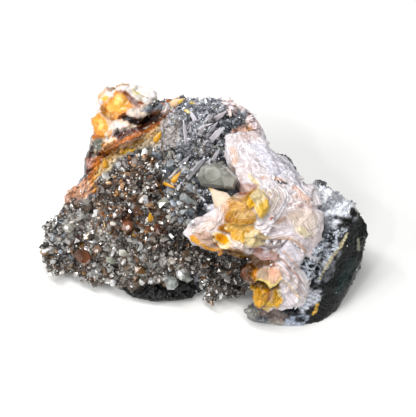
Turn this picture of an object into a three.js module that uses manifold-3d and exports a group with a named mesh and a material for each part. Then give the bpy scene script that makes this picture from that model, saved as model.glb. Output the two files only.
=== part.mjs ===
// A hand specimen of barite, 80 mm across, lying on its broken back: pink-white barite and a honey-coloured
// barite crest on dark galena rock, with a druse of cerussite crystals down its west side.
// Millimetres, +Z up. The best face looks up and towards -Y. The origin is under the middle of the box.
import * as THREE from "three";
import { ConvexGeometry } from "three/addons/geometries/ConvexGeometry.js";
import { MeshSurfaceSampler } from "three/addons/math/MeshSurfaceSampler.js";
import { mergeVertices } from "three/addons/utils/BufferGeometryUtils.js";
import Module from "manifold-3d";

const wasm = await Module();
wasm.setup();

const seatGap = 0.45; // between two minerals, before the surface is roughened
const facetEdge = 7; // longest edge of a broken facet
const roughness = 0.75; // how far a facet corner stands out or in
const roughScale = 5.5; // distance over which the roughness changes
const calmHeight = 4; // the roughness fades out over this height, so the resting face stays flat
const viewSide = new THREE.Vector3(0, -0.57, 0.82); // the way the best face looks

// ---------- the broken lumps, as corner points [x, y, z] ----------

// A lump's crown is its corner points, and its foot is where it meets the resting plane.
const standing = (crown, foot) => [...crown, ...foot.map(([x, y]) => [x, y, 0])];

const galenaLumps = {
  base: standing(
    [[-27, 5, 15], [-22, 17, 18], [-4, 21, 20], [12, 18, 19], [23, 3, 17], [27, -10, 13], [19, -15, 9], [-14, -10, 7],
      [-26, -6, 7]],
    [[-29, 4], [-28, 14], [-22, 22], [-6, 26], [10, 23.5], [20, 12], [29, -2], [30, -14], [18, -19.5], [-14, -15.5],
      [-28, -9.5]],
  ),
  backRidge: standing(
    [[-28, 16, 21], [-20, 21, 25], [-12.2, 20.9, 27], [-5, 20.9, 28], [1.4, 19.8, 26.4], [-29.6, 10, 20.5],
      [-24, 5, 18.5], [-9, 8, 24.5], [-1, 11.7, 26], [5.5, 9, 22.5]],
    [[-28, 8], [-28, 19], [-18, 26.5], [-4, 27], [6, 24], [8, 8]],
  ),
  northShoulder: standing(
    [[0, 18.5, 25.2], [3.1, 20.9, 27.2], [6.9, 19.6, 27.2], [10.3, 17.9, 26.6], [13, 16.1, 25.6], [14.1, 12.8, 24],
      [8, 7, 22.5], [1, 8, 23], [18.5, 7.6, 22.4]],
    [[2, 24.5], [11, 22], [18, 16], [21, 8], [4, 4]],
  ),
  eastSaddle: standing(
    [[14.4, 11.6, 23.8], [18.6, 7.7, 23.4], [21.9, 5.2, 22.8], [23.1, 3.2, 21.9], [26, -2.2, 22], [8, 4, 21],
      [18, -6, 20]],
    [[17, 15], [24, 8], [29, -1], [10, 0]],
  ),
  heart: standing(
    [[-20, 3, 17], [-8, 2, 19.5], [0, 1.5, 22], [6, 3.5, 22.5], [7.5, 9, 21.5], [2, -5.5, 18], [7, -13, 10],
      [16, -8, 19], [22, 3, 20.5]],
    [[-22, 5], [-4, -9], [8, -17], [20, -12], [24, 4], [0, 12]],
  ),
  westShoulder: standing(
    [[-29.6, 12, 20.6], [-30.2, 6.4, 19], [-32.2, 2.4, 16], [-35, -1.4, 13.4], [-34.6, -4, 9], [-24, 5, 18.6],
      [-22, -2, 14]],
    [[-29, 14], [-31, 5], [-33.6, -2], [-22, -2]],
  ),
  westWing: standing(
    [[-33, 0, 14], [-35.6, -3, 11.5], [-36, -7, 6.5], [-27, -6.5, 9], [-22, -12, 5.5], [-35, -12, 2.4],
      [-21, 3, 16]],
    [[-32, 2], [-35, -4], [-34, -11.4], [-22, -14.8], [-14, 4]],
  ),
  southLedge: standing(
    [[-22, -16.4, 3.4], [-17.6, -21.6, 1.6], [-13.5, -23, 1.6], [-5, -22.6, 2.2], [-3.2, -20.4, 4.2],
      [-16, -18.6, 4.2], [-14, -8.5, 11], [-3, -9, 12.5], [4, -12, 8.5]],
    [[-23, -15.4], [-18, -20.6], [-12, -22.2], [-6, -21.8], [4, -16], [6, -6], [-18, -4]],
  ),
  southKnee: standing(
    [[0, -17, 4.6], [4, -18.6, 2.6], [10, -19.6, 3.4], [11.6, -18.2, 7.6], [8, -13.6, 9], [1, -11, 9]],
    [[0, -15.6], [4, -17.6], [10, -18.6], [14, -16], [10, -8], [0, -8]],
  ),
  eastBlock: standing(
    [[22.8, 3, 21.6], [25.9, -2.4, 22.2], [30, -3.7, 22.4], [33.4, -4.9, 21], [36.9, -6, 19.2],
      [39.2, -7.8, 16], [40, -10, 13], [39.3, -14.6, 9.8], [37.6, -17.2, 8], [35.4, -20.7, 5],
      [35.2, -7.8, 19.9], [34.5, -11.6, 18.1], [31.9, -16.9, 14.5], [28.4, -22.2, 9.6], [26.7, -25.6, 5.4],
      [23.4, -28.8, 2.2]],
    [[27, 2], [36.4, -6], [38.6, -13], [35.2, -20.7], [32.8, -25], [29, -28], [24, -29.2], [15, -24], [12, -8]],
  ),
  southToe: standing(
    [[11.2, -28.9, 2.8], [10, -27.2, 4.2], [12.4, -27, 5.8], [17, -28, 2.8], [24, -27.8, 3]],
    [[12, -28], [18, -29], [24.5, -29.4], [24, -20], [14, -20]],
  ),
};

const druseLumps = {
  wing: [[-40.4, -12.6, 4], [-40.2, -11, 6.2], [-38.8, -9.4, 7.4], [-39.6, -5, 9.4], [-36.6, -3.6, 12.4],
    [-33, -1, 14.8], [-25.7, -6.6, 14.2], [-23.2, -12.8, 9.4], [-38.4, -14.2, 2.6], [-32.4, -16.4, 2.2],
    [-27.6, -18.4, 2.4], [-23, -19.4, 2.6], [-30, -6, 3.4], [-21, -8, 4]],
  apron: [[-25, -18.4, 2.8], [-17.4, -20.2, 3.8], [-10, -20.6, 4.4], [-3, -20.6, 3.6], [1.2, -19.6, 3.2],
    [3, -14.8, 9.8], [-3.4, -9.8, 17.8], [-13.2, -9.1, 17], [-25.7, -7.1, 13.6], [-14, -15.6, 9.8],
    [-15, -7, 5], [1, -10, 5]],
  slope: [[-28, -2.4, 16], [-26.4, 2, 19.2], [-16.4, 6.4, 23.6], [-9.5, 7, 24.8], [-3.4, 2.6, 23.6],
    [-0.2, -4.6, 20.6], [-3, -9.9, 17.8], [-13.2, -9.4, 17.4], [-26.8, -7.5, 13.8], [-13.4, -1.4, 23],
    [-20, 0, 9], [-6, -2, 11]],
  southKnob: [[1.2, -19.6, 4.2], [3.2, -21.6, 2], [6.7, -22.8, 2], [10.2, -22.4, 3], [11.6, -20.6, 6.6],
    [9.6, -16.4, 10.6], [2.6, -14.6, 10.4], [5, -15, 3]],
};

const pinkBariteLumps = {
  upperSlab: [[4.6, 6.6, 23.8], [5.6, 10.6, 25.6], [11.5, 5.8, 26.6], [15.6, 11.4, 24.2], [19.4, 8.6, 23.8],
    [23, 5.6, 23.2], [26.4, -1.6, 24.4], [18.5, -2.1, 26.2], [9.4, -5.4, 25.8], [13.4, -10.2, 27], [23.2, -7.7, 25.6],
    [29, -9.2, 23.8], [9, -1, 19], [20, -9, 15], [11, -10, 20]],
  fan: [[-3.6, -15.2, 20], [-2.8, -16.6, 19], [-0.9, -12.6, 22], [6.3, -9.5, 25.6], [7.6, -15.4, 24],
    [13.4, -10.2, 27], [2.9, -18.7, 19], [8.9, -20, 16.8], [14.2, -21.8, 14], [28.4, -11.4, 23.6],
    [28.6, -14.2, 21.4], [22, -20.8, 16.6], [8, -12, 14], [18, -12, 8], [8, -4, 22], [20, -4, 20]],
  lowerMass: [[11.4, -22.2, 13.4], [14.2, -22, 14.4], [28, -14.6, 21], [29.6, -15.6, 17.4], [26.4, -20, 14.6],
    [24.6, -24.2, 11], [12, -25.6, 9.8], [12.8, -27.4, 6.4], [18.6, -28.2, 4.6], [24.4, -27, 6],
    [16, -18, 5], [22, -18, 6]],
};

const honeyBariteLumps = {
  crest: [[-27.5, 19.9, 26.2], [-25.6, 21.7, 28.2], [-21.3, 22.2, 29.6], [-17.2, 23, 30.2], [-13.6, 22.8, 30.2],
    [-11.8, 21.4, 29], [-27.4, 16.8, 24], [-28, 13, 21.8], [-24.2, 10, 25.2], [-18, 11.6, 28.2],
    [-13.6, 15.4, 28.8], [-24, 12, 14], [-15, 17, 16], [-22, 19, 14]],
  brow: [[-28.4, 13, 21.4], [-29.6, 10.4, 19.6], [-25.4, 7.4, 23.6], [-19.4, 7.6, 26.2], [-15, 9.6, 27.2],
    [-17, 14, 27], [-24, 11, 13], [-18, 13, 15]],
};

const clearCrystalCorners = [[-1, -1.4, 21.6], [-0.2, 2.2, 23.4], [2.4, 4.2, 24.4], [6, 3.4, 25], [8.2, 0, 24.8],
  [8.6, -3.4, 23.8], [5.6, -4.6, 23], [1, -4, 21.8], [2, 1, 25], [6, 0.6, 25.9], [5.6, -2, 25.4], [2.4, 0, 18.4],
  [5.4, -1, 18.8]];

// ---------- the crystals that stand on the lumps ----------

const druseCrystals = { count: 60, radius: [0.9, 2.2], length: [2.4, 4.8], apart: 2.6, seed: 11 };
const galenaCubes = { count: 32, side: [1.8, 3.6], apart: 2.8, seed: 5 };
const galenaCubeRegion = { fromX: -12, toX: 26, aboveZ: 12 };
const crystalLean = 0.9; // how far a crystal leans from the surface's normal
const leastFacing = 0.25; // crystals stand only where the surface faces the best side by this much

// Stacks of thin blades, like a slipped pack of cards: where the stack is rooted, which way the tips point,
// which way the faces look, the size of the largest blade, how many there are, and the angle that they fan
// over, in degrees.
const bladeStacks = [
  { root: [13.8, -10.6, 25.9], to: [-0.6, -0.7, -0.3], face: [-0.1, -0.5, 0.86],
    long: 7.5, wide: 7.5, count: 3, fan: 38 },
  { root: [10.6, -12.4, 24.4], to: [-0.9, -0.42, -0.12], face: [0, -0.55, 0.83],
    long: 7.5, wide: 6, count: 3, fan: 16 },
  { root: [9.6, -16, 21.8], to: [-0.45, -0.75, -0.42], face: [-0.05, -0.45, 0.89],
    long: 6.5, wide: 7.5, count: 3, fan: 44 },
  { root: [2.8, -15.4, 22.2], to: [-0.93, -0.35, -0.1], face: [0.12, -0.42, 0.9],
    long: 7.2, wide: 6.5, count: 3, fan: 30 },
  { root: [6.6, -17.2, 19.4], to: [-0.55, -0.7, -0.45], face: [0.05, -0.4, 0.91],
    long: 5, wide: 6, count: 2, fan: 40 },
  { root: [14.2, -21.4, 14], to: [-0.8, -0.5, -0.34], face: [0, -0.55, 0.83],
    long: 7, wide: 7, count: 2, fan: 22 },
  { root: [18.4, -21.4, 14.2], to: [-0.2, -0.82, -0.5], face: [-0.05, -0.5, 0.86],
    long: 6, wide: 8, count: 3, fan: 34 },
  { root: [15.8, -24.6, 10.4], to: [-0.42, -0.74, -0.52], face: [-0.1, -0.66, 0.74],
    long: 6, wide: 6.5, count: 3, fan: 44 },
  { root: [20, -24.6, 9.8], to: [-0.05, -0.8, -0.58], face: [0.05, -0.68, 0.73],
    long: 5.5, wide: 6, count: 2, fan: 24 },
  { root: [11.4, 7.4, 25.6], to: [0.1, -0.95, 0.02], face: [-0.06, -0.05, 1],
    long: 9, wide: 8.5, count: 2, fan: 20 },
  { root: [14.5, 0.6, 25.8], to: [0.45, -0.85, -0.02], face: [0, -0.1, 0.99],
    long: 8.5, wide: 10, count: 3, fan: 30 },
  { root: [20.6, -4.4, 25.6], to: [0.55, -0.8, -0.2], face: [0.1, -0.2, 0.97],
    long: 8, wide: 8.5, count: 2, fan: 36 },
  { root: [26.4, -12, 22], to: [-0.25, -0.74, -0.56], face: [0.15, -0.56, 0.8],
    long: 7, wide: 7, count: 3, fan: 26 },
  { root: [22.4, -16.8, 19], to: [-0.55, -0.6, -0.56], face: [0.1, -0.6, 0.79],
    long: 7, wide: 8, count: 3, fan: 34 },
];
const bladeThickness = 0.9;
const bladeStep = 1; // from one blade of a stack to the next
const bladeShrink = 0.2; // how much shorter each next blade is, as a share of the largest

// ---------- solids ----------

// A seeded generator of numbers from 0 to 1, so that every build is the same.
function seeded(seed) {
  let state = seed;
  return () => {
    state = (Math.imul(state, 1664525) + 1013904223) >>> 0;
    return state / 4294967296;
  };
}

// A closed geometry as a manifold-3d solid.
function solidFrom(geometry) {
  const bare = geometry.clone();
  bare.deleteAttribute("normal");
  bare.deleteAttribute("uv");
  const merged = mergeVertices(bare, 1e-4);
  return new wasm.Manifold(new wasm.Mesh({
    numProp: 3,
    vertProperties: merged.getAttribute("position").array,
    triVerts: new Uint32Array(merged.index.array),
  }));
}

// A manifold-3d solid as an indexed geometry.
function geometryFrom(solid) {
  const { numProp, numVert, vertProperties, triVerts } = solid.getMesh();
  const positions = new Float32Array(numVert * 3);
  for (let i = 0; i < numVert; i++) positions.set(vertProperties.subarray(i * numProp, i * numProp + 3), i * 3);
  return new THREE.BufferGeometry()
    .setAttribute("position", new THREE.BufferAttribute(positions, 3))
    .setIndex(new THREE.BufferAttribute(new Uint32Array(triVerts), 1));
}

const joinAll = (solids) => solids.reduce((all, next) => all.add(next));
const largestOf = (solid) => solid.decompose().sort((a, b) => b.volume() - a.volume())[0];

// The convex lump on its corner points, grown outwards by at least the clearance.
function hull(corners, clearance = 0) {
  const reach = clearance * Math.sqrt(3);
  const ways = clearance ? [[1, 0, 0], [-1, 0, 0], [0, 1, 0], [0, -1, 0], [0, 0, 1], [0, 0, -1]] : [[0, 0, 0]];
  const points = corners.flatMap((corner) => ways.map((way) =>
    new THREE.Vector3(...corner).addScaledVector(new THREE.Vector3(...way), reach)));
  return solidFrom(new ConvexGeometry(points));
}
const lumps = (table, clearance = 0) => joinAll(Object.values(table).map((corners) => hull(corners, clearance)));

// Splits every edge that is longer than the limit at its middle, the same way from both sides.
function splitLongEdges(geometry, limit) {
  const flat = geometry.toNonIndexed().getAttribute("position");
  const out = [];
  const corner = (i) => new THREE.Vector3().fromBufferAttribute(flat, i);
  const middle = (p, q) => (p.distanceTo(q) > limit ? p.clone().add(q).multiplyScalar(0.5) : null);
  const put = (...points) => points.forEach((p) => out.push(p.x, p.y, p.z));
  for (let i = 0; i < flat.count; i += 3) {
    let [a, b, c] = [corner(i), corner(i + 1), corner(i + 2)];
    let [ab, bc, ca] = [middle(a, b), middle(b, c), middle(c, a)];
    for (let turn = 0; turn < 2 && !(ab && (bc || !ca)); turn++) {
      [a, b, c, ab, bc, ca] = [b, c, a, bc, ca, ab];
    }
    if (ab && bc && ca) put(a, ab, ca, ab, b, bc, ca, bc, c, ab, bc, ca);
    else if (ab && bc) put(a, ab, c, ab, bc, c, ab, b, bc);
    else if (ab) put(a, ab, c, ab, b, c);
    else put(a, b, c);
  }
  const split = new THREE.BufferGeometry().setAttribute("position", new THREE.Float32BufferAttribute(out, 3));
  return mergeVertices(split, 1e-4);
}

// A smooth random number from -1 to 1 at a point, from random numbers on a unit lattice.
function valueNoise(x, y, z, channel) {
  const lattice = (i, j, k) => {
    const s = Math.sin(i * 127.1 + j * 311.7 + k * 74.7 + channel * 53.3) * 43758.5453;
    return (s - Math.floor(s)) * 2 - 1;
  };
  const [i, j, k] = [Math.floor(x), Math.floor(y), Math.floor(z)];
  const [u, v, w] = [x - i, y - j, z - k].map((t) => t * t * (3 - 2 * t));
  const mix = THREE.MathUtils.lerp;
  const row = (dj, dk) => mix(lattice(i, j + dj, k + dk), lattice(i + 1, j + dj, k + dk), u);
  return mix(mix(row(0, 0), row(1, 0), v), mix(row(0, 1), row(1, 1), v), w);
}

// Breaks a solid's faces into facets and moves their corners, calmly near the resting plane.
function craggy(solid) {
  let geometry = geometryFrom(solid);
  for (let pass = 0; pass < 2; pass++) geometry = splitLongEdges(geometry, facetEdge);
  const position = geometry.getAttribute("position");
  for (let i = 0; i < position.count; i++) {
    const p = [position.getX(i), position.getY(i), position.getZ(i)];
    const push = roughness * THREE.MathUtils.smoothstep(p[2], 0, calmHeight);
    const at = p.map((value) => value / roughScale);
    position.setXYZ(i, ...p.map((value, axis) => value + push * valueNoise(...at, axis)));
  }
  return solidFrom(geometry);
}

// A stubby six-sided crystal with a pointed top, standing on the origin along +Z with its root sunk.
function stubbyCrystal(radius, length, flatness) {
  const profile = [[0, -0.3], [0.85, -0.3], [1, 0.4], [0, 0.8]];
  const points = profile.map(([r, h]) => new THREE.Vector2(r * radius, h * length));
  return new THREE.LatheGeometry(points, 6).scale(1, flatness, 1);
}

// A block with a cut corner, such as galena breaks into.
function cubeBlock(side, random) {
  const block = new THREE.BoxGeometry(side, side * (0.7 + 0.4 * random()), side * (0.7 + 0.4 * random()));
  return block.rotateX(random()).rotateY(random()).rotateZ(random() * 3);
}

// Places shapes on the side of a solid that looks up or forwards, where the test allows it.
function scatter(base, { count, apart, seed }, make, allowed) {
  const random = seeded(seed);
  const sampler = new MeshSurfaceSampler(new THREE.Mesh(geometryFrom(base).toNonIndexed()))
    .setRandomGenerator(random).build();
  const placed = [];
  const point = new THREE.Vector3();
  const normal = new THREE.Vector3();
  for (let tries = 0; placed.length < count && tries < count * 60; tries++) {
    sampler.sample(point, normal);
    if (normal.dot(viewSide) < leastFacing || !allowed(point)) continue;
    if (placed.some(({ at }) => at.distanceTo(point) < apart)) continue;
    const lean = new THREE.Vector3(random() - 0.5, random() - 0.5, random() - 0.5).multiplyScalar(crystalLean);
    const axis = normal.clone().add(lean).normalize();
    const turn = new THREE.Quaternion().setFromUnitVectors(new THREE.Vector3(0, 0, 1), axis);
    const shape = make(random)
      .rotateZ(random() * Math.PI)
      .applyQuaternion(turn)
      .translate(point.x, point.y, point.z);
    placed.push({ at: point.clone(), solid: solidFrom(shape) });
  }
  return placed.map(({ solid }) => solid);
}

// One thin blade with a scalloped end, grown by the clearance, its tip along +X and its face along +Z.
function blade(long, wide, clearance) {
  const [l, w] = [long + clearance, wide + 2 * clearance];
  const outline = new THREE.Shape();
  outline.moveTo(-0.35 * l, -0.3 * w);
  outline.lineTo(0.45 * l, -0.5 * w);
  outline.quadraticCurveTo(0.95 * l, -0.45 * w, 0.85 * l, -0.12 * w);
  outline.quadraticCurveTo(1.12 * l, 0.05 * w, 0.82 * l, 0.22 * w);
  outline.quadraticCurveTo(0.9 * l, 0.5 * w, 0.4 * l, 0.5 * w);
  outline.lineTo(-0.35 * l, 0.3 * w);
  const depth = bladeThickness + 2 * clearance;
  return new THREE.ExtrudeGeometry(outline, { depth, bevelEnabled: false, curveSegments: 2 })
    .translate(0, 0, -depth / 2);
}

function stackOfBlades({ root, to, face, long, wide, count, fan }, clearance = 0) {
  const along = new THREE.Vector3(...to).normalize();
  const side = new THREE.Vector3(...face).cross(along).normalize();
  const up = along.clone().cross(side).normalize();
  const place = new THREE.Matrix4().makeBasis(along, side, up).setPosition(...root);
  const random = seeded(Math.round(Math.abs(root[0] * 97 + root[1] * 31)));
  return Array.from({ length: count }, (_, i) => {
    const share = i / (count - 1) - 0.5;
    const size = 1 - bladeShrink * i + 0.12 * random();
    return solidFrom(blade(long * size, wide * size, clearance)
      .rotateX((random() - 0.5) * 0.3)
      .rotateZ(THREE.MathUtils.degToRad(share * fan * (random() < 0.5 ? -1 : 1)))
      .translate(0, 0, (i - 0.4) * bladeStep)
      .applyMatrix4(place));
  });
}

// Adds each shape that stays clear of the neighbours.
function fuse(base, shapes, neighbours) {
  const isClear = (shape) => neighbours.every((other) => shape.intersect(other).isEmpty());
  return largestOf(joinAll([base, ...shapes.filter(isClear)]));
}

// ---------- the specimen ----------

// Each mineral is cut back from its neighbours' seats, which are the neighbours grown by the gap.
const cutBack = (solid, seats) => seats.reduce((left, seat) => left.subtract(seat), solid);
const aboveTable = solidFrom(new THREE.BoxGeometry(200, 200, 100).translate(0, 0, 50));
const clearCrystal = hull(clearCrystalCorners);
const clearSeat = hull(clearCrystalCorners, seatGap);
const honeySeat = lumps(honeyBariteLumps, seatGap);
const galenaSeat = lumps(galenaLumps, seatGap);
const druseSeat = lumps(druseLumps, seatGap);
const pinkBarite = (clearance) => joinAll([
  lumps(pinkBariteLumps, clearance),
  ...bladeStacks.flatMap((stack) => stackOfBlades(stack, clearance)),
]);
const pinkSeat = pinkBarite(seatGap);
const pinkRough = largestOf(cutBack(pinkBarite(0), [clearSeat]));

const druseRough = largestOf(cutBack(lumps(druseLumps), [galenaSeat, pinkSeat, clearSeat, honeySeat]));
function druseCrystal(random) {
  const size = random() ** 1.6; // more small crystals than large ones
  const pick = ([low, high]) => THREE.MathUtils.lerp(low, high, size);
  return stubbyCrystal(pick(druseCrystals.radius), pick(druseCrystals.length), 0.7 + 0.3 * random());
}
const druseWithCrystals = fuse(druseRough, scatter(druseRough, druseCrystals, druseCrystal, () => true),
  [galenaSeat, pinkSeat, honeySeat, clearSeat]);

const galenaRough = largestOf(cutBack(lumps(galenaLumps).intersect(aboveTable), [honeySeat, clearSeat, pinkSeat]));
const galenaCube = (random) => cubeBlock(THREE.MathUtils.lerp(...galenaCubes.side, random()), random);
const inCubeRegion = ({ x, z }) =>
  x > galenaCubeRegion.fromX && x < galenaCubeRegion.toX && z > galenaCubeRegion.aboveZ;
const galenaWithCubes = fuse(galenaRough, scatter(galenaRough, galenaCubes, galenaCube, inCubeRegion),
  [druseSeat, pinkSeat, honeySeat, clearSeat]);

// ---------- the scene graph ----------

const finishes = {
  galena_matrix: { color: 0x5c5f66, roughness: 0.55, metalness: 0.35 },
  cerussite_druse: { color: 0x8a7564, roughness: 0.25, metalness: 0 },
  pink_barite: { color: 0xf0dcd4, roughness: 0.5, metalness: 0 },
  honey_barite_crest: { color: 0xe09a2c, roughness: 0.45, metalness: 0 },
  clear_cerussite_crystal: { color: 0xb4b8a8, roughness: 0.1, metalness: 0 },
};
const solids = {
  galena_matrix: craggy(galenaWithCubes),
  cerussite_druse: craggy(druseWithCrystals),
  pink_barite: craggy(pinkRough),
  honey_barite_crest: craggy(lumps(honeyBariteLumps)),
  clear_cerussite_crystal: craggy(clearCrystal),
};

const specimen = new THREE.Group();
for (const [name, solid] of Object.entries(solids)) {
  const mesh = new THREE.Mesh(geometryFrom(solid), new THREE.MeshStandardMaterial(finishes[name]));
  mesh.name = name;
  specimen.add(mesh);
}
const box = new THREE.Box3().setFromObject(specimen);
const middle = box.getCenter(new THREE.Vector3());
specimen.position.set(-middle.x, -middle.y, -box.min.z);

export default specimen;
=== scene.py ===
# A hand specimen of barite: pink and honey-coloured blades on galena rock, with a brown cerussite druse.
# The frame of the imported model: metres, +Z up. Sizes are in millimetres unless a note says otherwise.
import math
import bmesh
import bpy
import numpy as np
from mathutils import Matrix, Vector
from mathutils.bvhtree import BVHTree


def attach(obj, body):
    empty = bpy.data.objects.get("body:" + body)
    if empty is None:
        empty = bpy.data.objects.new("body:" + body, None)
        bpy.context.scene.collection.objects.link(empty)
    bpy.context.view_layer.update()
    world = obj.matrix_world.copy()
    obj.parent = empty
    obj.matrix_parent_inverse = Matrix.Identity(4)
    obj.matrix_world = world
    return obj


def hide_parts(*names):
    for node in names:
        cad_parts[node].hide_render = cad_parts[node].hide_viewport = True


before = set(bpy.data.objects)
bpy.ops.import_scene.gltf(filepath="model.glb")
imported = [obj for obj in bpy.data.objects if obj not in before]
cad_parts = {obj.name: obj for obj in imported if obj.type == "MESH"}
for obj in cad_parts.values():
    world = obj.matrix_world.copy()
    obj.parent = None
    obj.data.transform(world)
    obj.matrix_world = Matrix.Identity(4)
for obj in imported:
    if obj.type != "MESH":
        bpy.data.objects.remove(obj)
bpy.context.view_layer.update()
mm = 0.001


# view: the camera, and how a pixel of its 416 x 417 frame finds the surface

view = {
    "elevation": 55.0,  # degrees above the table
    "lens": 135.0,
    "sensor": 36.0,
    "frameWide": 416,
    "frameHigh": 417,
    "target": (1.29, -0.93, 12.0),
    "distance": 390.9,
}
pixelsPerUnit = view["lens"] / view["sensor"] * view["frameHigh"]
tilt = math.radians(view["elevation"])
ahead = np.array((0.0, math.cos(tilt), -math.sin(tilt)))
rightward = np.array((1.0, 0.0, 0.0))
upward = np.array((0.0, math.sin(tilt), math.cos(tilt)))
eye = np.array(view["target"]) - view["distance"] * ahead
bestSide = -ahead  # the way the best face looks


def pixelRay(u, v):
    across = (u - view["frameWide"] / 2) / pixelsPerUnit
    down = (v - view["frameHigh"] / 2) / pixelsPerUnit
    ray = ahead + rightward * across - upward * down
    return ray / np.linalg.norm(ray)


def unit(vectors):
    length = np.linalg.norm(vectors, axis=-1, keepdims=True)
    return vectors / np.maximum(length, 1e-9)


def linear(hexColour):
    parts = [int(hexColour[i:i + 2], 16) / 255 for i in (1, 3, 5)]
    return np.array([c / 12.92 if c <= 0.04045 else ((c + 0.055) / 1.055) ** 2.4 for c in parts])


# noise in space, so that neighbouring minerals break alike


def scramble(cells, seed):
    # a number from 0 to 1 for each cell of space, mixed from its three indices by large odd factors
    mixed = cells[..., 0] * 73856093 ^ cells[..., 1] * 19349663
    mixed = mixed ^ cells[..., 2] * 83492791 ^ seed * 2654435761
    mixed = (mixed ^ (mixed >> 13)) * 1274126177 & 0x7FFFFFFF
    return ((mixed ^ (mixed >> 16)) & 0xFFFFFF) / 0xFFFFFF


def swell(points, size, seed=0, octaves=1):
    # smooth noise from -1 to 1 whose bumps are about one size apart, with finer octaves at half strength
    total = np.zeros(len(points))
    strength = 1.0
    for octave in range(octaves):
        at = points / size * 2 ** octave
        cell = np.floor(at).astype(np.int64)
        t = at - cell
        t = t * t * (3 - 2 * t)
        value = 0.0
        for corner in range(8):
            step = np.array((corner & 1, corner >> 1 & 1, corner >> 2))
            weight = np.prod(np.where(step == 1, t, 1 - t), axis=1)
            value = value + weight * scramble(cell + step, seed + octave * 17)
        total += strength * (value * 2 - 1)
        strength *= 0.5
    return total


def chips(points, size, seed=0):
    # broken facets: the nearest chip's middle, its own direction and number, and how far its edge is
    at = points / size
    cell = np.floor(at).astype(np.int64)
    nearest = np.full(len(points), 9.0)
    second = nearest.copy()
    middle = np.zeros_like(points)
    owner = np.zeros_like(cell)
    for i in range(27):
        other = cell + np.array((i % 3 - 1, i // 3 % 3 - 1, i // 9 - 1))
        spot = other + np.stack([scramble(other, seed + k) for k in (1, 2, 3)], axis=1)
        far = np.linalg.norm(at - spot, axis=1)
        closer = far < nearest
        second = np.where(closer, nearest, np.minimum(second, far))
        nearest = np.where(closer, far, nearest)
        middle[closer] = spot[closer]
        owner[closer] = other[closer]
    way = unit(np.stack([scramble(owner, seed + k) - 0.5 for k in (4, 5, 6)], axis=1))
    number = scramble(owner, seed + 7)
    return (at - middle) * size, way, number, (second - nearest) * size


def smoothstep(value, low, high):
    t = np.clip((value - low) / (high - low), 0, 1)
    return t * t * (3 - 2 * t)


def stretched(points, way, factor):
    # the points squeezed along a way, so that noise read there is drawn out by the factor
    return points - (1 - 1 / factor) * (points @ way)[:, None] * way


def wrinkles(points, size, seed, octaves=3):
    # sharp crests that wander, 1 on a crest and 0 in the hollows between
    bent = points + 0.35 * size * np.stack([swell(points, size, seed + k) for k in (1, 2, 3)], axis=1)
    total = np.zeros(len(points))
    for octave in range(octaves):
        total += 0.5 ** octave * (1 - np.abs(swell(bent, size / 2 ** octave, seed + octave * 11)) * 1.6)
    return np.clip(total / 1.5, 0, 1)


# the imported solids, and strokes drawn over them


def mergedMesh(nodeName):
    mesh = bmesh.new()
    mesh.from_mesh(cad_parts[nodeName].data)
    bmesh.ops.remove_doubles(mesh, verts=mesh.verts, dist=0.001 * mm)
    return mesh


def solidTree():
    points = []
    faces = []
    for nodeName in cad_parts:
        mesh = mergedMesh(nodeName)
        start = len(points)
        points += [tuple(v.co / mm) for v in mesh.verts]
        faces += [tuple(v.index + start for v in face.verts) for face in mesh.faces]
        mesh.free()
    return BVHTree.FromPolygons(points, faces)


surface = solidTree()


def onSurface(u, v):
    # the point and normal that a pixel shows, or those nearest to its ray where it misses the stone
    ray = pixelRay(u, v)
    place, normal = surface.ray_cast(Vector(eye), Vector(ray))[:2]
    if place is None:
        place, normal = surface.find_nearest(Vector(eye + ray * view["distance"]))[:2]
    return np.array(place), np.array(normal)


def strokeDistance(points, pixels):
    # how far each point is from the stroke that runs over the surface through the pixels
    marks = np.array([onSurface(u, v)[0] for u, v in pixels])
    best = np.linalg.norm(points - marks[0], axis=1)
    for start, end in zip(marks[:-1], marks[1:]):
        run = end - start
        along = np.clip((points - start) @ run / max(run @ run, 1e-9), 0, 1)
        best = np.minimum(best, np.linalg.norm(points - start - along[:, None] * run, axis=1))
    return best


def strokeWeight(points, pixels, reach, ragged=0.45, inner=0.75):
    # 1 on the stroke, 0 past its reach, with a ragged edge that starts at the inner share of the reach
    far = strokeDistance(points, pixels) / reach
    far = far + ragged * swell(points, 1.6, 3, 3)
    return 1 - smoothstep(far, inner, 1.1)


def paint(points, colours, strokes, ragged=0.45, inner=0.75):
    # colours: one row for each point, changed in place by one stroke after another
    for pixels, reach, hexColour in strokes:
        weight = strokeWeight(points, pixels, reach, ragged, inner)[:, None]
        colours += weight * (linear(hexColour) - colours)


def blendColours(amount, low, high):
    return linear(low) + (linear(high) - linear(low)) * amount[:, None]


def strokeWay(points, pixels):
    # the direction of the stroke where it passes each point
    marks = np.array([onSurface(u, v)[0] for u, v in pixels])
    middles = (marks[1:] + marks[:-1]) / 2
    nearest = np.argmin(np.linalg.norm(points[:, None] - middles[None], axis=2), axis=1)
    return unit(marks[1:] - marks[:-1])[nearest]


def paintZones(points, normals, colours, zones, ragged=0.7, soft=1.0):
    # colours the parts that are seen inside each outline in the frame
    spots, facing = seenSpots(points, normals, ragged)
    for outline, hexColour in zones:
        weight = (facing * zoneWeight(spots, outline, soft))[:, None]
        colours += weight * (linear(hexColour) - colours)


def seenSpots(points, normals, ragged):
    # the pixels at which points are seen, moved a little at random, and how much each faces the frame
    wander = np.stack([swell(points, 1.1, 91, 3), swell(points, 1.1, 95, 3)], axis=1)
    return pixelsOf(points) + ragged * wander, smoothstep(normals @ bestSide, -0.05, 0.2)


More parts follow.
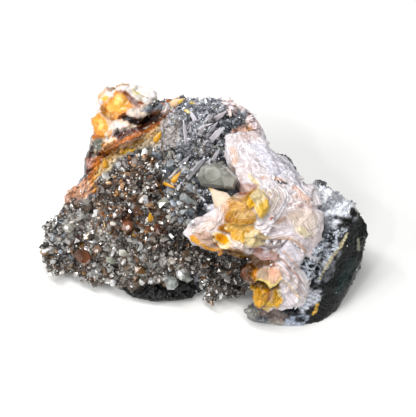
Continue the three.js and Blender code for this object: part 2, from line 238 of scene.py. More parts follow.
def zoneWeight(spots, outline, soft=1.0):
    # 1 for a spot inside the outline and 0 outside, with a soft edge
    corners = np.array(outline, float)
    inside = np.zeros(len(spots), bool)
    far = np.full(len(spots), 1e9)
    for start, end in zip(corners, np.roll(corners, -1, axis=0)):
        run = end - start
        off = spots - start
        crosses = (start[1] > spots[:, 1]) != (end[1] > spots[:, 1])
        inside ^= crosses & (off[:, 0] < run[0] * off[:, 1] / (run[1] or 1e-9))
        share = np.clip(off @ run / (run @ run), 0, 1)
        far = np.minimum(far, np.linalg.norm(off - share[:, None] * run, axis=1))
    return smoothstep(np.where(inside, far, -far), -soft, soft)


def pixelsOf(points):
    # where each point is seen in the frame
    away = points - eye
    depth = away @ ahead
    across = away @ rightward / depth * pixelsPerUnit
    up = away @ upward / depth * pixelsPerUnit
    return np.stack([view["frameWide"] / 2 + across, view["frameHigh"] / 2 - up], axis=1)


def rimDistance(spots, rim):
    # how many pixels each spot lies to the right of the rim, and how far along it from the rim's nearer end
    rim = np.array(rim, float)
    runs = rim[1:] - rim[:-1]
    lengths = np.linalg.norm(runs, axis=1)
    starts = np.cumsum(lengths) - lengths
    nearest = np.full(len(spots), 1e9)
    signed = nearest.copy()
    passed = np.zeros(len(spots))
    for start, run, length, before in zip(rim[:-1], runs, lengths, starts):
        off = spots - start
        share = np.clip(off @ run / length ** 2, 0, 1)
        far = np.linalg.norm(off - share[:, None] * run, axis=1)
        side = np.sign(run[0] * off[:, 1] - run[1] * off[:, 0])
        closer = far < nearest
        nearest = np.where(closer, far, nearest)
        signed = np.where(closer, side * far, signed)
        passed = np.where(closer, before + share * length, passed)
    return signed, np.minimum(passed, lengths.sum() - passed)


page = {
    # how every sheet is drawn: along its rim in pixels, and across it in pixels or in shares of its reach
    "ends": 4.0,  # it fades in over so many pixels from each end of its rim
    "flat": 0.3,  # it stands off at its full height up to this share of its reach
    "covers": 0.6,  # it hides what is under it up to this share
    "rimFades": 0.45,  # the rim's colour has gone at this share
    "lines": (2.6, 0.04, 0.05),  # growth lines: radians for each pixel, height and contrast
    "shadow": (1.0, 0.9, 0.4, 0.2),  # painted shadow outside the rim: how far out, width, darkness and depth
    "lit": (0.7, 0.5, 0.12),  # painted highlight inside the rim: how far in, width and strength
}


def laySheets(points, normals, colours, sheets, ragged):
    # thin sheets that overlap like pages: each stands off the stone at its rim, and fades into it on the
    # right of the rim.
    # Paints them, with painted shadow just outside each rim and a painted highlight just inside it, and
    # returns how far each point rises and how light it stays
    spots, facing = seenSpots(points, normals, ragged)
    turns, lineHeight, lineShade = page["lines"]
    shadowAt, shadowWide, shadowDark, shadowDeep = page["shadow"]
    litAt, litWide, litMore = page["lit"]
    bend = 0.8 * swell(points, 2.6, 97, 2)
    rise = np.zeros(len(points))
    light = np.ones(len(points))
    for rim, reach, height, rimHex, bodyHex in sheets:
        inside, toEnd = rimDistance(spots, rim)
        near = facing * smoothstep(toEnd, 0.0, page["ends"])
        over = near * smoothstep(inside, -0.4, 0.6)
        ripple = np.sin(inside * turns + bend)
        raised = over * (1 - smoothstep(inside, page["flat"] * reach, reach))
        rise += raised * (height + lineHeight * ripple)
        sheet = over * (1 - smoothstep(inside, page["covers"] * reach, reach))
        tint = blendColours(smoothstep(inside, 0.3, page["rimFades"] * reach), rimHex, bodyHex)
        colours += sheet[:, None] * (tint * (1 + lineShade * ripple)[:, None] - colours)
        # painted shadow in a groove just outside the rim
        shade = near * np.exp(-((inside + shadowAt) / shadowWide) ** 2) * min(1, 0.15 + 0.6 * height)
        rise -= shadowDeep * height * shade
        light *= 1 - shadowDark * shade
        light += sheet * (1 + lineShade * ripple - light) * 0.8
        # painted highlight just inside the rim
        light *= 1 + litMore * near * np.exp(-((inside - litAt) / litWide) ** 2)
    return rise, light


# a mineral mass: its solid, remeshed finely so that it can be broken and painted


def readMass(mesh):
    # its points in millimetres, and their normals
    points = np.empty(len(mesh.vertices) * 3, np.float32)
    mesh.vertices.foreach_get("co", points)
    normals = np.empty(len(mesh.vertices) * 3, np.float32)
    mesh.vertex_normals.foreach_get("vector", normals)
    return points.reshape(-1, 3).astype(float) / mm, normals.reshape(-1, 3).astype(float)


outlines = [
    # pixels along the seen outline, with the stone on its right
    [(50, 210), (58, 203), (65, 196), (70, 190), (80, 186), (84, 178), (85, 169), (87, 160), (90, 150),
     (93, 140), (95, 130), (96, 120)],
    [(232, 95), (240, 103), (247, 110), (254, 117), (258, 127), (262, 136), (268, 148), (276, 154),
     (285, 157), (293, 165), (299, 176), (306, 186), (314, 190)],
]
outlineInset = {"galena_matrix": 1.5}  # how many pixels inside the outline a mass ends, if not 0.5


def trimOutline(points, inset):
    # moves back what stands past an outline, so that the silhouette runs along it, so many pixels inside
    for outline in outlines:
        spots = pixelsOf(points)
        inside, toEnd = rimDistance(spots, outline)
        steps = ((0.1, 0), (0, 0.1))
        slope = np.stack([rimDistance(spots + step, outline)[0] - inside for step in steps], axis=1)
        shift = unit(slope) * (np.clip(inset - inside, 0, 24) * smoothstep(toEnd, 0, 10))[:, None]
        depth = (points - eye) @ ahead / pixelsPerUnit
        points = points + (shift[:, :1] * rightward - shift[:, 1:] * upward) * depth[:, None]
    points[:, 2] = np.maximum(points[:, 2], 0)
    return points


def fineMass(nodeName, voxel, smoothing, window=None):
    # window: the part of the frame, in pixels, inside which the faces are split in four
    mesh = mergedMesh(nodeName)
    data = bpy.data.meshes.new(nodeName + "_fine")
    mesh.to_mesh(data)
    mesh.free()
    piece = bpy.data.objects.new(nodeName + "_fine", data)
    bpy.context.scene.collection.objects.link(piece)
    remesh = piece.modifiers.new("remesh", "REMESH")
    remesh.mode = "VOXEL"
    remesh.voxel_size = voxel * mm
    smooth = piece.modifiers.new("smooth", "SMOOTH")
    smooth.iterations = smoothing
    smooth.factor = 0.5
    fine = bpy.data.meshes.new_from_object(piece.evaluated_get(bpy.context.evaluated_depsgraph_get()))
    bpy.data.objects.remove(piece)
    if window:
        points, normals = readMass(fine)
        spots = pixelsOf(points)
        inside = np.all((spots > window[:2]) & (spots < window[2:]), axis=1) & (normals @ bestSide > 0.1)
        mesh = bmesh.new()
        mesh.from_mesh(fine)
        split = [edge for edge in mesh.edges if all(inside[vert.index] for vert in edge.verts)]
        bmesh.ops.subdivide_edges(mesh, edges=split, cuts=1, use_grid_fill=True)
        mesh.to_mesh(fine)
        mesh.free()
    points, normals = readMass(fine)
    return fine, trimOutline(points, outlineInset.get(nodeName, 0.5)), normals


def finishMass(name, fine, points, colours, smooth=False):
    fine.vertices.foreach_set("co", (points * mm).astype(np.float32).ravel())
    tint = fine.attributes.new("tint", "FLOAT_COLOR", "POINT")
    rgba = np.ones((len(points), 4), np.float32)
    rgba[:, :3] = np.clip(colours, 0, 1)
    tint.data.foreach_set("color", rgba.ravel())
    fine.polygons.foreach_set("use_smooth", [smooth] * len(fine.polygons))
    fine.update()
    piece = bpy.data.objects.new(name, fine)
    bpy.context.scene.collection.objects.link(piece)
    return piece


def massOf(points, normals, fine, colours):
    # what crystals need to grow on a mass
    return {"points": points, "normals": normals, "faces": triangles(fine), "colours": colours}


def triangles(mesh):
    mesh.calc_loop_triangles()
    corners = np.empty(len(mesh.loop_triangles) * 3, np.int32)
    mesh.loop_triangles.foreach_get("vertices", corners)
    return corners.reshape(-1, 3)


def scatter(points, faces, count, rng, chance=None, apart=0.0):
    # random places on a mass, with their normals, more where chance is high, and never closer than apart
    corners = points[faces]
    across = np.cross(corners[:, 1] - corners[:, 0], corners[:, 2] - corners[:, 0])
    area = np.linalg.norm(across, axis=1) / 2
    weight = area * (1.0 if chance is None else chance[faces].mean(axis=1))
    share = weight / weight.sum()
    pick = rng.choice(len(faces), size=count, p=share)
    a, b = rng.random(count), rng.random(count)
    a, b = np.where(a + b > 1, 1 - a, a), np.where(a + b > 1, 1 - b, b)
    first, second, third = corners[pick].transpose(1, 0, 2)
    places = first + a[:, None] * (second - first) + b[:, None] * (third - first)
    keep = np.ones(count, bool)
    if apart > 0:
        taken = {}
        for i, cell in enumerate(map(tuple, np.floor(places / apart).astype(int))):
            keep[i] = cell not in taken
            taken[cell] = True
    return places[keep], pick[keep]


# small shapes that are repeated: made once by bmesh operators, then joined in one mesh


def shapeFrom(mesh, upright=False):
    # its points and faces, and how far along it each point is: outwards from its root, or up it
    bmesh.ops.triangulate(mesh, faces=mesh.faces)
    bmesh.ops.recalc_face_normals(mesh, faces=mesh.faces)
    mesh.verts.index_update()
    points = np.array([tuple(v.co) for v in mesh.verts])
    faces = np.array([[v.index for v in face.verts] for face in mesh.faces])
    mesh.free()
    along = points[:, 2] if upright else np.linalg.norm(points[:, :2], axis=1)
    return {"points": points, "faces": faces, "along": along}


def prismShape(flatness, tipHeight, tipWidth):
    # a six-sided crystal, one unit wide and one high over its root, with a pointed or blunt tip
    mesh = bmesh.new()
    bmesh.ops.create_cone(mesh, cap_ends=True, segments=6, radius1=0.5, radius2=0.5, depth=1.0)
    top = [face for face in mesh.faces if face.normal.z > 0.9]
    grown = bmesh.ops.extrude_face_region(mesh, geom=top)
    bmesh.ops.delete(mesh, geom=top, context="FACES_ONLY")
    tip = [v for v in grown["geom"] if isinstance(v, bmesh.types.BMVert)]
    bmesh.ops.translate(mesh, verts=tip, vec=(0, 0, tipHeight))
    aboutTip = Matrix.Translation((0, 0, -0.5 - tipHeight))
    bmesh.ops.scale(mesh, verts=tip, vec=(tipWidth, tipWidth, 1), space=aboutTip)
    bmesh.ops.scale(mesh, verts=mesh.verts, vec=(1, flatness, 1))
    bmesh.ops.translate(mesh, verts=mesh.verts, vec=(0, 0, 0.2))
    return shapeFrom(mesh, True)


def hullUp(mesh):
    # faces around the corners, without those that lie inside
    hull = bmesh.ops.convex_hull(mesh, input=mesh.verts)
    inner = hull["geom_interior"] + hull["geom_unused"]
    loose = {item for item in inner if isinstance(item, bmesh.types.BMVert)}
    bmesh.ops.delete(mesh, geom=list(loose), context="VERTS")


def chipShape(rng, corners=9):
    # a broken grain: the hull of a few random corners
    mesh = bmesh.new()
    for spot in unit(rng.normal(size=(corners, 3))) * rng.uniform(0.38, 0.6, (corners, 1)):
        mesh.verts.new(spot)
    hullUp(mesh)
    return shapeFrom(mesh)


def blockShape(rng):
    # a cleavage block of galena with one corner broken off
    mesh = bmesh.new()
    bmesh.ops.create_cube(mesh, size=0.9)
    bmesh.ops.scale(mesh, verts=mesh.verts, vec=(1, rng.uniform(0.6, 1), rng.uniform(0.5, 1)))
    corner = Vector(unit(rng.uniform(0.4, 1, 3)))
    cut = bmesh.ops.bisect_plane(mesh, geom=mesh.verts[:] + mesh.edges[:] + mesh.faces[:], dist=1e-5,
                                 plane_co=corner * 0.42, plane_no=corner, clear_outer=True)
    rim = [item for item in cut["geom_cut"] if isinstance(item, bmesh.types.BMEdge)]
    bmesh.ops.edgeloop_fill(mesh, edges=rim)
    return shapeFrom(mesh)


def plateFrom(mesh, thickness):
    # a bent grid made solid
    bmesh.ops.recalc_face_normals(mesh, faces=mesh.faces)
    bmesh.ops.solidify(mesh, geom=mesh.faces[:], thickness=thickness)
    return shapeFrom(mesh)


def bladeShape(rng, lengthCuts, widthCuts, point, scallop, thickness, curl, belly=0.45):
    # a thin plate from x = 0 at its root to x = 1 at its tip, one unit wide, with a ragged edge
    mesh = bmesh.new()
    bmesh.ops.create_grid(mesh, x_segments=lengthCuts, y_segments=widthCuts, size=0.5)
    phase = rng.uniform(0, 6.28, 4)
    for vert in mesh.verts:
        x, y = vert.co.x + 0.5, vert.co.y * 2
        ragged = 1 + scallop * (math.sin(9 * y + phase[0]) + 0.6 * math.sin(17 * y + phase[1]))
        width = (1 - belly + belly * math.sin(math.pi * min(x * 0.8 + 0.12, 1))) * (1 - point * x ** 2)
        edge = 1 + scallop * (math.sin(11 * x + phase[2]) + 0.5 * math.sin(23 * x + phase[3]))
        roundEnd = 1 - 0.28 * abs(y) ** 2.2 * x
        vert.co.x = x * ragged * roundEnd
        vert.co.y = y / 2 * width * edge
        vert.co.z = curl * (x * x - 0.35 * y * y * x)
    return plateFrom(mesh, thickness)


def shellShape(rng, cuts, spread, lobes, ripples, ripple, thickness, cup):
    # a thin shell that fans out from its root at x = 0 to a lobed rim near x = 1, with growth ripples
    mesh = bmesh.new()
    bmesh.ops.create_grid(mesh, x_segments=cuts, y_segments=cuts, size=0.5)
    phase = rng.uniform(0, 6.28, 7)
    for vert in mesh.verts:
        along, across = vert.co.x + 0.5, vert.co.y * 2
        rim = lobes * (1.2 * math.sin(3.2 * across + phase[0]) + 0.8 * math.sin(7.5 * across + phase[1])
                       + 0.5 * math.sin(17 * across + phase[2]) + 0.4 * math.sin(29 * across + phase[6]))
        far = (0.05 + 0.95 * along) * (1 + rim * along ** 2 - 0.2 * abs(across) ** 3)
        turn = math.radians(spread / 2) * across * (1 + 0.1 * math.sin(6 * along + phase[3]))
        wave = math.sin(6.28 * ripples * far + 1.8 * math.sin(3.5 * across + phase[4]))
        fold = math.sin(5 * across + phase[3]) + 0.5 * math.sin(12 * across + phase[5])
        lift = cup * (far ** 2 + 0.5 * across ** 2 * far) + ripple * far * (wave + 1.6 * fold)
        vert.co = (far * math.cos(turn), far * math.sin(turn), lift)
    return plateFrom(mesh, thickness)


def uprights(ways, rolls):
    # for each way, three axes whose third is the way, turned about it by the roll
    side = unit(np.cross(ways, np.where(np.abs(ways[:, 2:]) > 0.9, [[1.0, 0, 0]], [[0, 0, 1.0]])))
    other = np.cross(ways, side)
    cos, sin = np.cos(rolls)[:, None], np.sin(rolls)[:, None]
    return np.stack([side * cos + other * sin, other * cos - side * sin, ways], axis=1)


def newHeap():
    return {"points": [], "faces": [], "tints": [], "count": 0}


def fadeColours(along, stops):
    # stops: where along the shape, and a colour for each copy. The colour changes smoothly between stops
    colour = np.repeat(stops[0][1][:, None, :], len(along), axis=1)
    for (start, _), (end, after) in zip(stops[:-1], stops[1:]):
        share = smoothstep(along, start, end)[None, :, None]
        colour = colour * (1 - share) + after[:, None, :] * share
    return colour


def addCopies(heap, shape, places, axes, sizes, stops):
    # copies of a shape: places (k, 3), axes (k, 3, 3), sizes (k, 3), and colours along it
    local = shape["points"][None] * sizes[:, None, :]
    world = places[:, None, :] + np.einsum("kni,kij->knj", local, axes)
    start = heap["count"] + np.arange(len(places))[:, None, None] * len(shape["points"])
    heap["points"].append(world.reshape(-1, 3))
    heap["faces"].append((shape["faces"][None] + start).reshape(-1, 3))
    heap["tints"].append(fadeColours(shape["along"], stops).reshape(-1, 3))
    heap["count"] += len(places) * len(shape["points"])


def heapPiece(name, heap, smooth=False, veil=0.0):
    # veil: painted reflections, how much lighter and darker each corner is at random, so that facets look
    # glassy
    points = np.concatenate(heap["points"])
    heap["tints"] = [np.concatenate(heap["tints"]) * np.exp(veil * swell(points, 0.45, 93, 1))[:, None]]
    points[:, 2] = np.maximum(points[:, 2], 0.05)  # nothing reaches under the table
    faces = np.concatenate(heap["faces"])
    mesh = bpy.data.meshes.new(name)
    mesh.vertices.add(len(points))
    mesh.loops.add(faces.size)
    mesh.polygons.add(len(faces))
    mesh.loops.foreach_set("vertex_index", faces.astype(np.int32).ravel())
    mesh.polygons.foreach_set("loop_start", np.arange(0, faces.size, 3, dtype=np.int32))
    mesh.update(calc_edges=True)
    return finishMass(name, mesh, points, np.concatenate(heap["tints"]), smooth)


def place(piece, material, slot, *replaced):
    piece.data.materials.clear()
    piece.data.materials.append(material)
    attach(piece, "root")
    if replaced:
        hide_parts(*replaced)
    print(f"{piece.name}: {len(triangles(piece.data))} triangles")


def palette(rng, count, *hexColours, spread=0.12):
    # a random colour of the palette for each copy, a little lighter or darker
    chosen = np.array([linear(c) for c in hexColours])[rng.integers(0, len(hexColours), count)]
    return np.clip(chosen * (1 + spread * rng.normal(size=(count, 1))), 0, 1)


def paletteOf(*hexColours, spread=0.12):
    # tints for crystals that don't depend on where they stand
    def tints(rng, places, colours):
        return palette(rng, len(places), *hexColours, spread=spread)
    return tints


def pixelWay(across, down):
    # a direction in the picture as a direction in space
    return unit(rightward * across - upward * down)


def bedOf(count, width, ratio, lean, apart, sink):
    # how crystals grow: how many, their width, length over width and lean, how far apart they stand, and
    # the share of their length that is sunk
    return {"count": count, "width": width, "ratio": ratio, "lean": lean, "apart": apart, "sink": sink}


def crystalSet(rng, mass, heap, shapes, tints, chance, bed):
    # crystals standing on a mass, leaning at random, more small ones than large ones
    places, pick = scatter(mass["points"], mass["faces"], bed["count"], rng, chance, bed["apart"])
    face = mass["faces"][pick]
    outward = unit(mass["normals"][face].mean(axis=1))
    ways = unit(outward + bed["lean"] * rng.normal(size=outward.shape))
    least, most = bed["width"]
    widths = least + (most - least) * rng.random(len(places)) ** 2.2
    lengths = widths * rng.uniform(*bed["ratio"], len(places))
    sizes = np.stack([widths, widths * rng.uniform(0.6, 1, len(places)), lengths], axis=1)
    places = places - outward * (bed["sink"] * lengths)[:, None]
    axes = uprights(ways, rng.uniform(0, 6.28, len(places)))
    colour = tints(rng, places, mass["colours"][face].mean(axis=1))
    for i, shape in enumerate(shapes):
        mine = np.arange(len(places)) % len(shapes) == i
        addCopies(heap, shape, places[mine], axes[mine], sizes[mine], [(0, colour[mine])])


def bladeAxes(ways, faces, rolls):
    # x along each blade, z out of its face, rolled about x
    z = unit(faces - ways * np.einsum("ij,ij->i", faces, ways)[:, None])
    y = np.cross(z, ways)
    cos, sin = np.cos(rolls)[:, None], np.sin(rolls)[:, None]
    return np.stack([ways, y * cos + z * sin, z * cos - y * sin], axis=1)


def layBlades(rng, mass, heap, shapes, bed):
    # blades that lie on a mass like shingles: their tips point one way or along the stroke, and stand off
    chance = strokeWeight(mass["points"], bed["along"], bed["reach"])
    places, pick = scatter(mass["points"], mass["faces"], bed["count"], rng, chance, bed.get("apart", 0))
    count = len(places)
    outward = unit(mass["normals"][mass["faces"][pick]].mean(axis=1))
    if "to" in bed:
        wish = np.repeat(pixelWay(*bed["to"])[None], count, axis=0)
    else:
        wish = strokeWay(places, bed["along"])
    flat = unit(wish - outward * np.einsum("ij,ij->i", wish, outward)[:, None])
    turn = np.radians(bed["fan"]) * rng.normal(size=count)[:, None]
    flat = flat * np.cos(turn) + np.cross(outward, flat) * np.sin(turn)
    lift = np.radians(rng.uniform(*bed["lift"], count))[:, None]
    ways = flat * np.cos(lift) + outward * np.sin(lift)
    lengths = rng.uniform(*bed["length"], count)
    widths = rng.uniform(*bed["width"], count)
    places = places - ways * (lengths * 0.35)[:, None] - outward * bed.get("sink", 0.15)
    axes = bladeAxes(ways, outward, rng.normal(size=count) * 0.2)
    sizes = np.stack([lengths, widths, lengths], axis=1)
    roots = palette(rng, count, *bed["root"], spread=0.05)
    tips = palette(rng, count, *bed["tip"], spread=0.05)
    for i, shape in enumerate(shapes):
        mine = np.arange(count) % len(shapes) == i
        stops = [(0.3, roots[mine]), (0.95, tips[mine])]
        addCopies(heap, shape, places[mine], axes[mine], sizes[mine], stops)


def heroBlade(heap, shape, spec):
    # one blade from a root pixel to a tip pixel, standing off the stone by so much at each end
    root, tip, width, (rootOff, tipOff), roll, *hexColours = spec
    start, end = [onSurface(*pixel)[0] for pixel in (root, tip)]
    start = eye + pixelRay(*root) * (np.linalg.norm(start - eye) - rootOff)
    end = eye + pixelRay(*tip) * (np.linalg.norm(end - eye) - tipOff)
    way = unit((end - start)[None])
    length = np.linalg.norm(end - start)
    axes = bladeAxes(way, bestSide[None], np.radians([roll]))
    colours = [linear(hexColour)[None] for hexColour in hexColours]
    stops = [(0.15, colours[0]), (0.5, colours[1]), (0.8, colours[1]), (1.02, colours[-1])]
    addCopies(heap, shape, start[None], axes, np.array([[length, width, length]]), stops)


def heroCrystal(heap, shape, spec):
    # one crystal at a pixel, leaning from the surface's normal towards the best side, paler at its tip
    pixel, width, length, lean, roll, hexColour, tipHex = spec
    spot, outward = onSurface(*pixel)
    way = unit((outward + bestSide * 0.8 + pixelWay(*lean) * 0.4)[None])
    axes = uprights(way, np.radians([roll]))
    start = (spot + way[0] * (0.2 * length + 0.9))[None]
    stops = [(0.3, linear(hexColour)[None]), (1.0, linear(tipHex)[None])]
    addCopies(heap, shape, start, axes, np.array([[width, width, length]]), stops)


def joinMasses(*masses):
    # several masses as one, so that what grows on them can cross from one to the next
    starts = np.cumsum([0] + [len(mass["points"]) for mass in masses[:-1]])
    names = ("points", "normals", "colours")
    joined = {name: np.concatenate([mass[name] for mass in masses]) for name in names}
    joined["faces"] = np.concatenate([mass["faces"] + start for mass, start in zip(masses, starts)])
    return joined


# materials


def addNode(tree, kind, props=None, values=None, links=None):
    node = tree.nodes.new(kind)
    for name, value in (props or {}).items():
        setattr(node, name, value)
    for name, value in (values or {}).items():
        node.inputs[name].default_value = value
    for name, source in (links or {}).items():
        tree.links.new(source, node.inputs[name])
    return node


def mineral(name, fixed, mottle, roughness, grain, bump, absorb=None):
    # its painted tint, mottled by noise, with roughness between two values and two sizes of bumps
    # fixed: what is the same all over. grain: the size of the mottling
    # absorb: the colour and density of the inside
    material = bpy.data.materials.new(name)
    material.use_nodes = True
    tree = material.node_tree
    tree.nodes.clear()
    tint = addNode(tree, "ShaderNodeAttribute", {"attribute_name": "tint"})
    where = addNode(tree, "ShaderNodeTexCoord")
    coarse = addNode(tree, "ShaderNodeTexNoise", values={"Scale": 1 / (grain * mm), "Detail": 4.0},
                     links={"Vector": where.outputs["Object"]})
    fineGrain = addNode(tree, "ShaderNodeTexVoronoi", values={"Scale": 2.2 / (grain * mm)},
                        links={"Vector": where.outputs["Object"]})
    shades = {"From Min": 0.25, "From Max": 0.75, "To Min": 1 - mottle, "To Max": 1 + mottle}
    shade = addNode(tree, "ShaderNodeMapRange", values=shades, links={"Value": coarse.outputs["Fac"]})
    scaled = addNode(tree, "ShaderNodeVectorMath", {"operation": "SCALE"},
                     links={"Vector": tint.outputs["Color"], "Scale": shade.outputs["Result"]})
    glosses = {"From Min": 0.3, "From Max": 0.7, "To Min": roughness[0], "To Max": roughness[1]}
    gloss = addNode(tree, "ShaderNodeMapRange", values=glosses,
                    links={"Value": fineGrain.outputs["Distance"]})
    coarseBump = addNode(tree, "ShaderNodeBump", values={"Strength": bump, "Distance": 0.25 * grain * mm},
                         links={"Height": coarse.outputs["Fac"]})
    heights = {"Height": fineGrain.outputs["Distance"], "Normal": coarseBump.outputs["Normal"]}
    relief = {"Strength": bump * 0.6, "Distance": 0.12 * grain * mm}
    fineBump = addNode(tree, "ShaderNodeBump", values=relief, links=heights)
    shader = addNode(tree, "ShaderNodeBsdfPrincipled", values=fixed,
                     links={"Base Color": scaled.outputs["Vector"], "Roughness": gloss.outputs["Result"],
                            "Normal": fineBump.outputs["Normal"]})
    output = addNode(tree, "ShaderNodeOutputMaterial", links={"Surface": shader.outputs["BSDF"]})
    if absorb:
        inside = {"Color": (*linear(absorb[0]), 1), "Density": absorb[1]}
        body = addNode(tree, "ShaderNodeVolumeAbsorption", values=inside)
        tree.links.new(body.outputs["Volume"], output.inputs["Volume"])
    return material


# galena rock, broken: dull lead grey in the mass, with a faint metallic glint on its cleavage faces
galenaRock = mineral("brokenGalenaRock", {"Metallic": 0.12, "IOR": 1.45}, mottle=0.3, roughness=(0.22, 0.5),
                     grain=0.9, bump=0.7)
# galena, freshly cleaved: small cubes with a bright lead-grey metal lustre
galenaMetal = mineral("cleavedGalena", {"Metallic": 0.55}, mottle=0.25, roughness=(0.14, 0.36), grain=0.6,
                      bump=0.35)
# smoky cerussite, grown: brown glassy crystals with an adamantine lustre, so hard white glints
smokyCerussite = mineral("grownSmokyCerussite", {"IOR": 2.2, "Transmission Weight": 0.15}, mottle=0.2,
                         roughness=(0.02, 0.16), grain=0.7, bump=0.2)
# clear cerussite, grown: colourless to pale grey and half see-through, with the same hard glints
clearCerussite = mineral("grownClearCerussite", {"IOR": 2.0, "Transmission Weight": 0.55}, mottle=0.12,
                         roughness=(0.02, 0.1), grain=0.7, bump=0.12)
# the one large crystal, grown slowly: greenish grey glass with faint veils
greyCerussite = mineral("grownGreyCerussite", {"IOR": 1.75, "Transmission Weight": 0.4}, mottle=0.3,
                        roughness=(0.02, 0.08), grain=2.2, bump=0.1, absorb=("#c9cbc3", 30.0))
# cerussite crust, grown in one fine coat: dull and rough between the crystals
druseCrust = mineral("grownDruseCrust", {"IOR": 1.8}, mottle=0.35, roughness=(0.2, 0.5), grain=0.6,
                     bump=0.6)
# pink barite, cleaved: cloudy pink-white with a pearly gloss, and light that sinks in a little
pearl = {"IOR": 1.5, "Subsurface Weight": 0.25, "Subsurface Scale": 0.6 * mm,
         "Subsurface Radius": (0.9, 0.7, 0.55)}
pearlyBarite = mineral("cleavedPinkBarite", pearl, mottle=0.05, roughness=(0.1, 0.3), grain=0.35, bump=0.6)
# honey-coloured barite, grown in blades: waxy, and glowing amber where it is thin
wax = {"IOR": 1.55, "Subsurface Weight": 0.3, "Subsurface Scale": 0.7 * mm,
       "Subsurface Radius": (1.0, 0.5, 0.15)}
honeyBarite = mineral("grownHoneyBarite", wax, mottle=0.1, roughness=(0.1, 0.32), grain=0.9, bump=0.3)


# galena rock: the matrix that carries everything

rock = {
    "voxel": 0.42,
    "smoothing": 4,
    "grow": 0.2,  # outwards, so that the minerals meet
    "lumps": (3.6, 0.5),  # size and height
    "chips": ((2.6, 0.34), (1.1, 0.32)),  # size and steepness of the broken facets
    "dull": "#3c3e43",
    "bright": "#9b9ea5",
    "carbonate": "#b0a595",
    "fibre": 0.6,  # height of the fibres in the rusty band
    "striation": (0.95, 0.16),  # spacing and height of the eastern cleavage lines
}
bandLine = [(92, 184), (95, 172), (101, 156), (111, 146), (127, 137), (149, 126), (162, 112), (176, 99)]
bandStrokes = [
    (bandLine, 2.2, "#9c5614"),
    ([(94, 186), (101, 168), (113, 154), (127, 145), (142, 136), (156, 124)], 1.3, "#cf8a34"),
    ([(98, 180), (108, 162), (122, 151), (136, 144), (150, 137), (160, 128), (168, 116)], 1.4, "#d6bf98"),
]
crestZones = [
    # outline in pixels, colour
    ([(100, 150), (108, 144), (118, 138), (130, 132), (144, 126), (158, 117), (168, 107), (176, 101),
      (177, 106), (170, 114), (160, 125), (148, 133), (134, 139), (120, 146), (108, 156), (99, 166)],
      "#ac5c0c"),
    ([(95, 188), (97, 172), (103, 160), (113, 151), (126, 144), (142, 138), (158, 128), (168, 116),
      (170, 120), (160, 132), (146, 142), (132, 149), (118, 157), (107, 168), (101, 182)], "#c39a5c"),
    ([(101, 180), (106, 168), (116, 158), (128, 152), (142, 146), (154, 138), (160, 132), (158, 140),
      (146, 147), (132, 152), (118, 160), (108, 170), (104, 180)], "#d8c4a0"),
    ([(152, 141), (158, 131), (165, 121), (173, 113), (177, 118), (170, 130), (162, 143), (155, 149)],
      "#c8b69c"),
    ([(112, 138), (122, 131), (134, 127), (146, 124), (157, 117), (165, 110), (167, 113), (159, 121),
      (147, 129), (133, 133), (120, 140)], "#5c220a"),
    ([(122, 115), (130, 117), (137, 119), (146, 115), (154, 114), (163, 112), (159, 118), (151, 123),
      (144, 126), (134, 124), (125, 122)], "#2a0d08"),
    # the deepest part of the crevice, painted near black as shade
    ([(139, 120), (146, 117), (151, 118), (147, 123), (140, 124)], "#0c0404"),
    ([(162, 110), (170, 103), (176, 103), (168, 110), (163, 115)], "#ecd3c8"),
    ([(92, 141), (82, 150), (72, 166), (70, 182), (86, 182), (90, 170), (93, 156), (97, 147)], "#3c1c14"),
    ([(88, 148), (91, 150), (86, 160), (83, 160)], "#1c0c0a"),
    ([(90, 158), (93, 158), (90, 168), (86, 168)], "#c49080"),
    ([(84, 168), (87, 172), (82, 182), (76, 180)], "#8c4c34"),
    ([(76, 182), (88, 180), (94, 188), (88, 196), (74, 200), (66, 204)], "#cf9a78"),
    ([(226, 98), (240, 102), (252, 108), (262, 120), (268, 136), (258, 142), (244, 142), (232, 141),
      (228, 134), (238, 128), (247, 121), (246, 113), (236, 108), (226, 106)], "#f2dcd6"),
    ([(238, 104), (250, 110), (258, 120), (262, 132), (256, 128), (246, 116)], "#ecdde0"),
    ([(230, 128), (240, 126), (252, 133), (250, 141), (238, 140)], "#cfa494"),
    ([(243, 126), (251, 126), (256, 132), (250, 134)], "#b4845c"),  # tan notch
    ([(160, 122), (172, 112), (181, 116), (182, 132), (180, 150), (172, 160), (164, 150), (160, 138)],
      "#a8a09c"),
    ([(94, 141), (99, 139), (106, 142), (103, 147), (98, 152), (95, 148)], "#78796c"),
    ([(140, 112), (144, 107), (150, 104), (158, 103), (164, 104), (163, 110), (154, 112), (146, 113)],
      "#858b93"),
]
paleEdge = ([(347, 234), (341, 246), (333, 256), (326, 267), (320, 280)], 0.4, "#d9cda8")
eastPatch = [
    # two outlines in pixels
    [(348, 227), (340, 228), (331, 230), (322, 238), (314, 247), (311, 254), (316, 259), (323, 262),
      (330, 259), (336, 250), (343, 238)],
    [(303, 256), (311, 257), (319, 263), (325, 267), (322, 275), (319, 283), (311, 282), (305, 275),
      (299, 267)],
]
cleavageWay = pixelWay(0.5, -0.85)  # along the eastern cleavage lines
eastFace = [(330, 214), (336, 226), (330, 240), (322, 250), (316, 262), (310, 278), (308, 294),
            (302, 310)]
darkSide = [[(348, 234), (354, 250), (346, 272), (334, 294), (322, 314)], 7.0]
crackedTop = [[(312, 196), (326, 206), (342, 214), (352, 220)], 6.0]
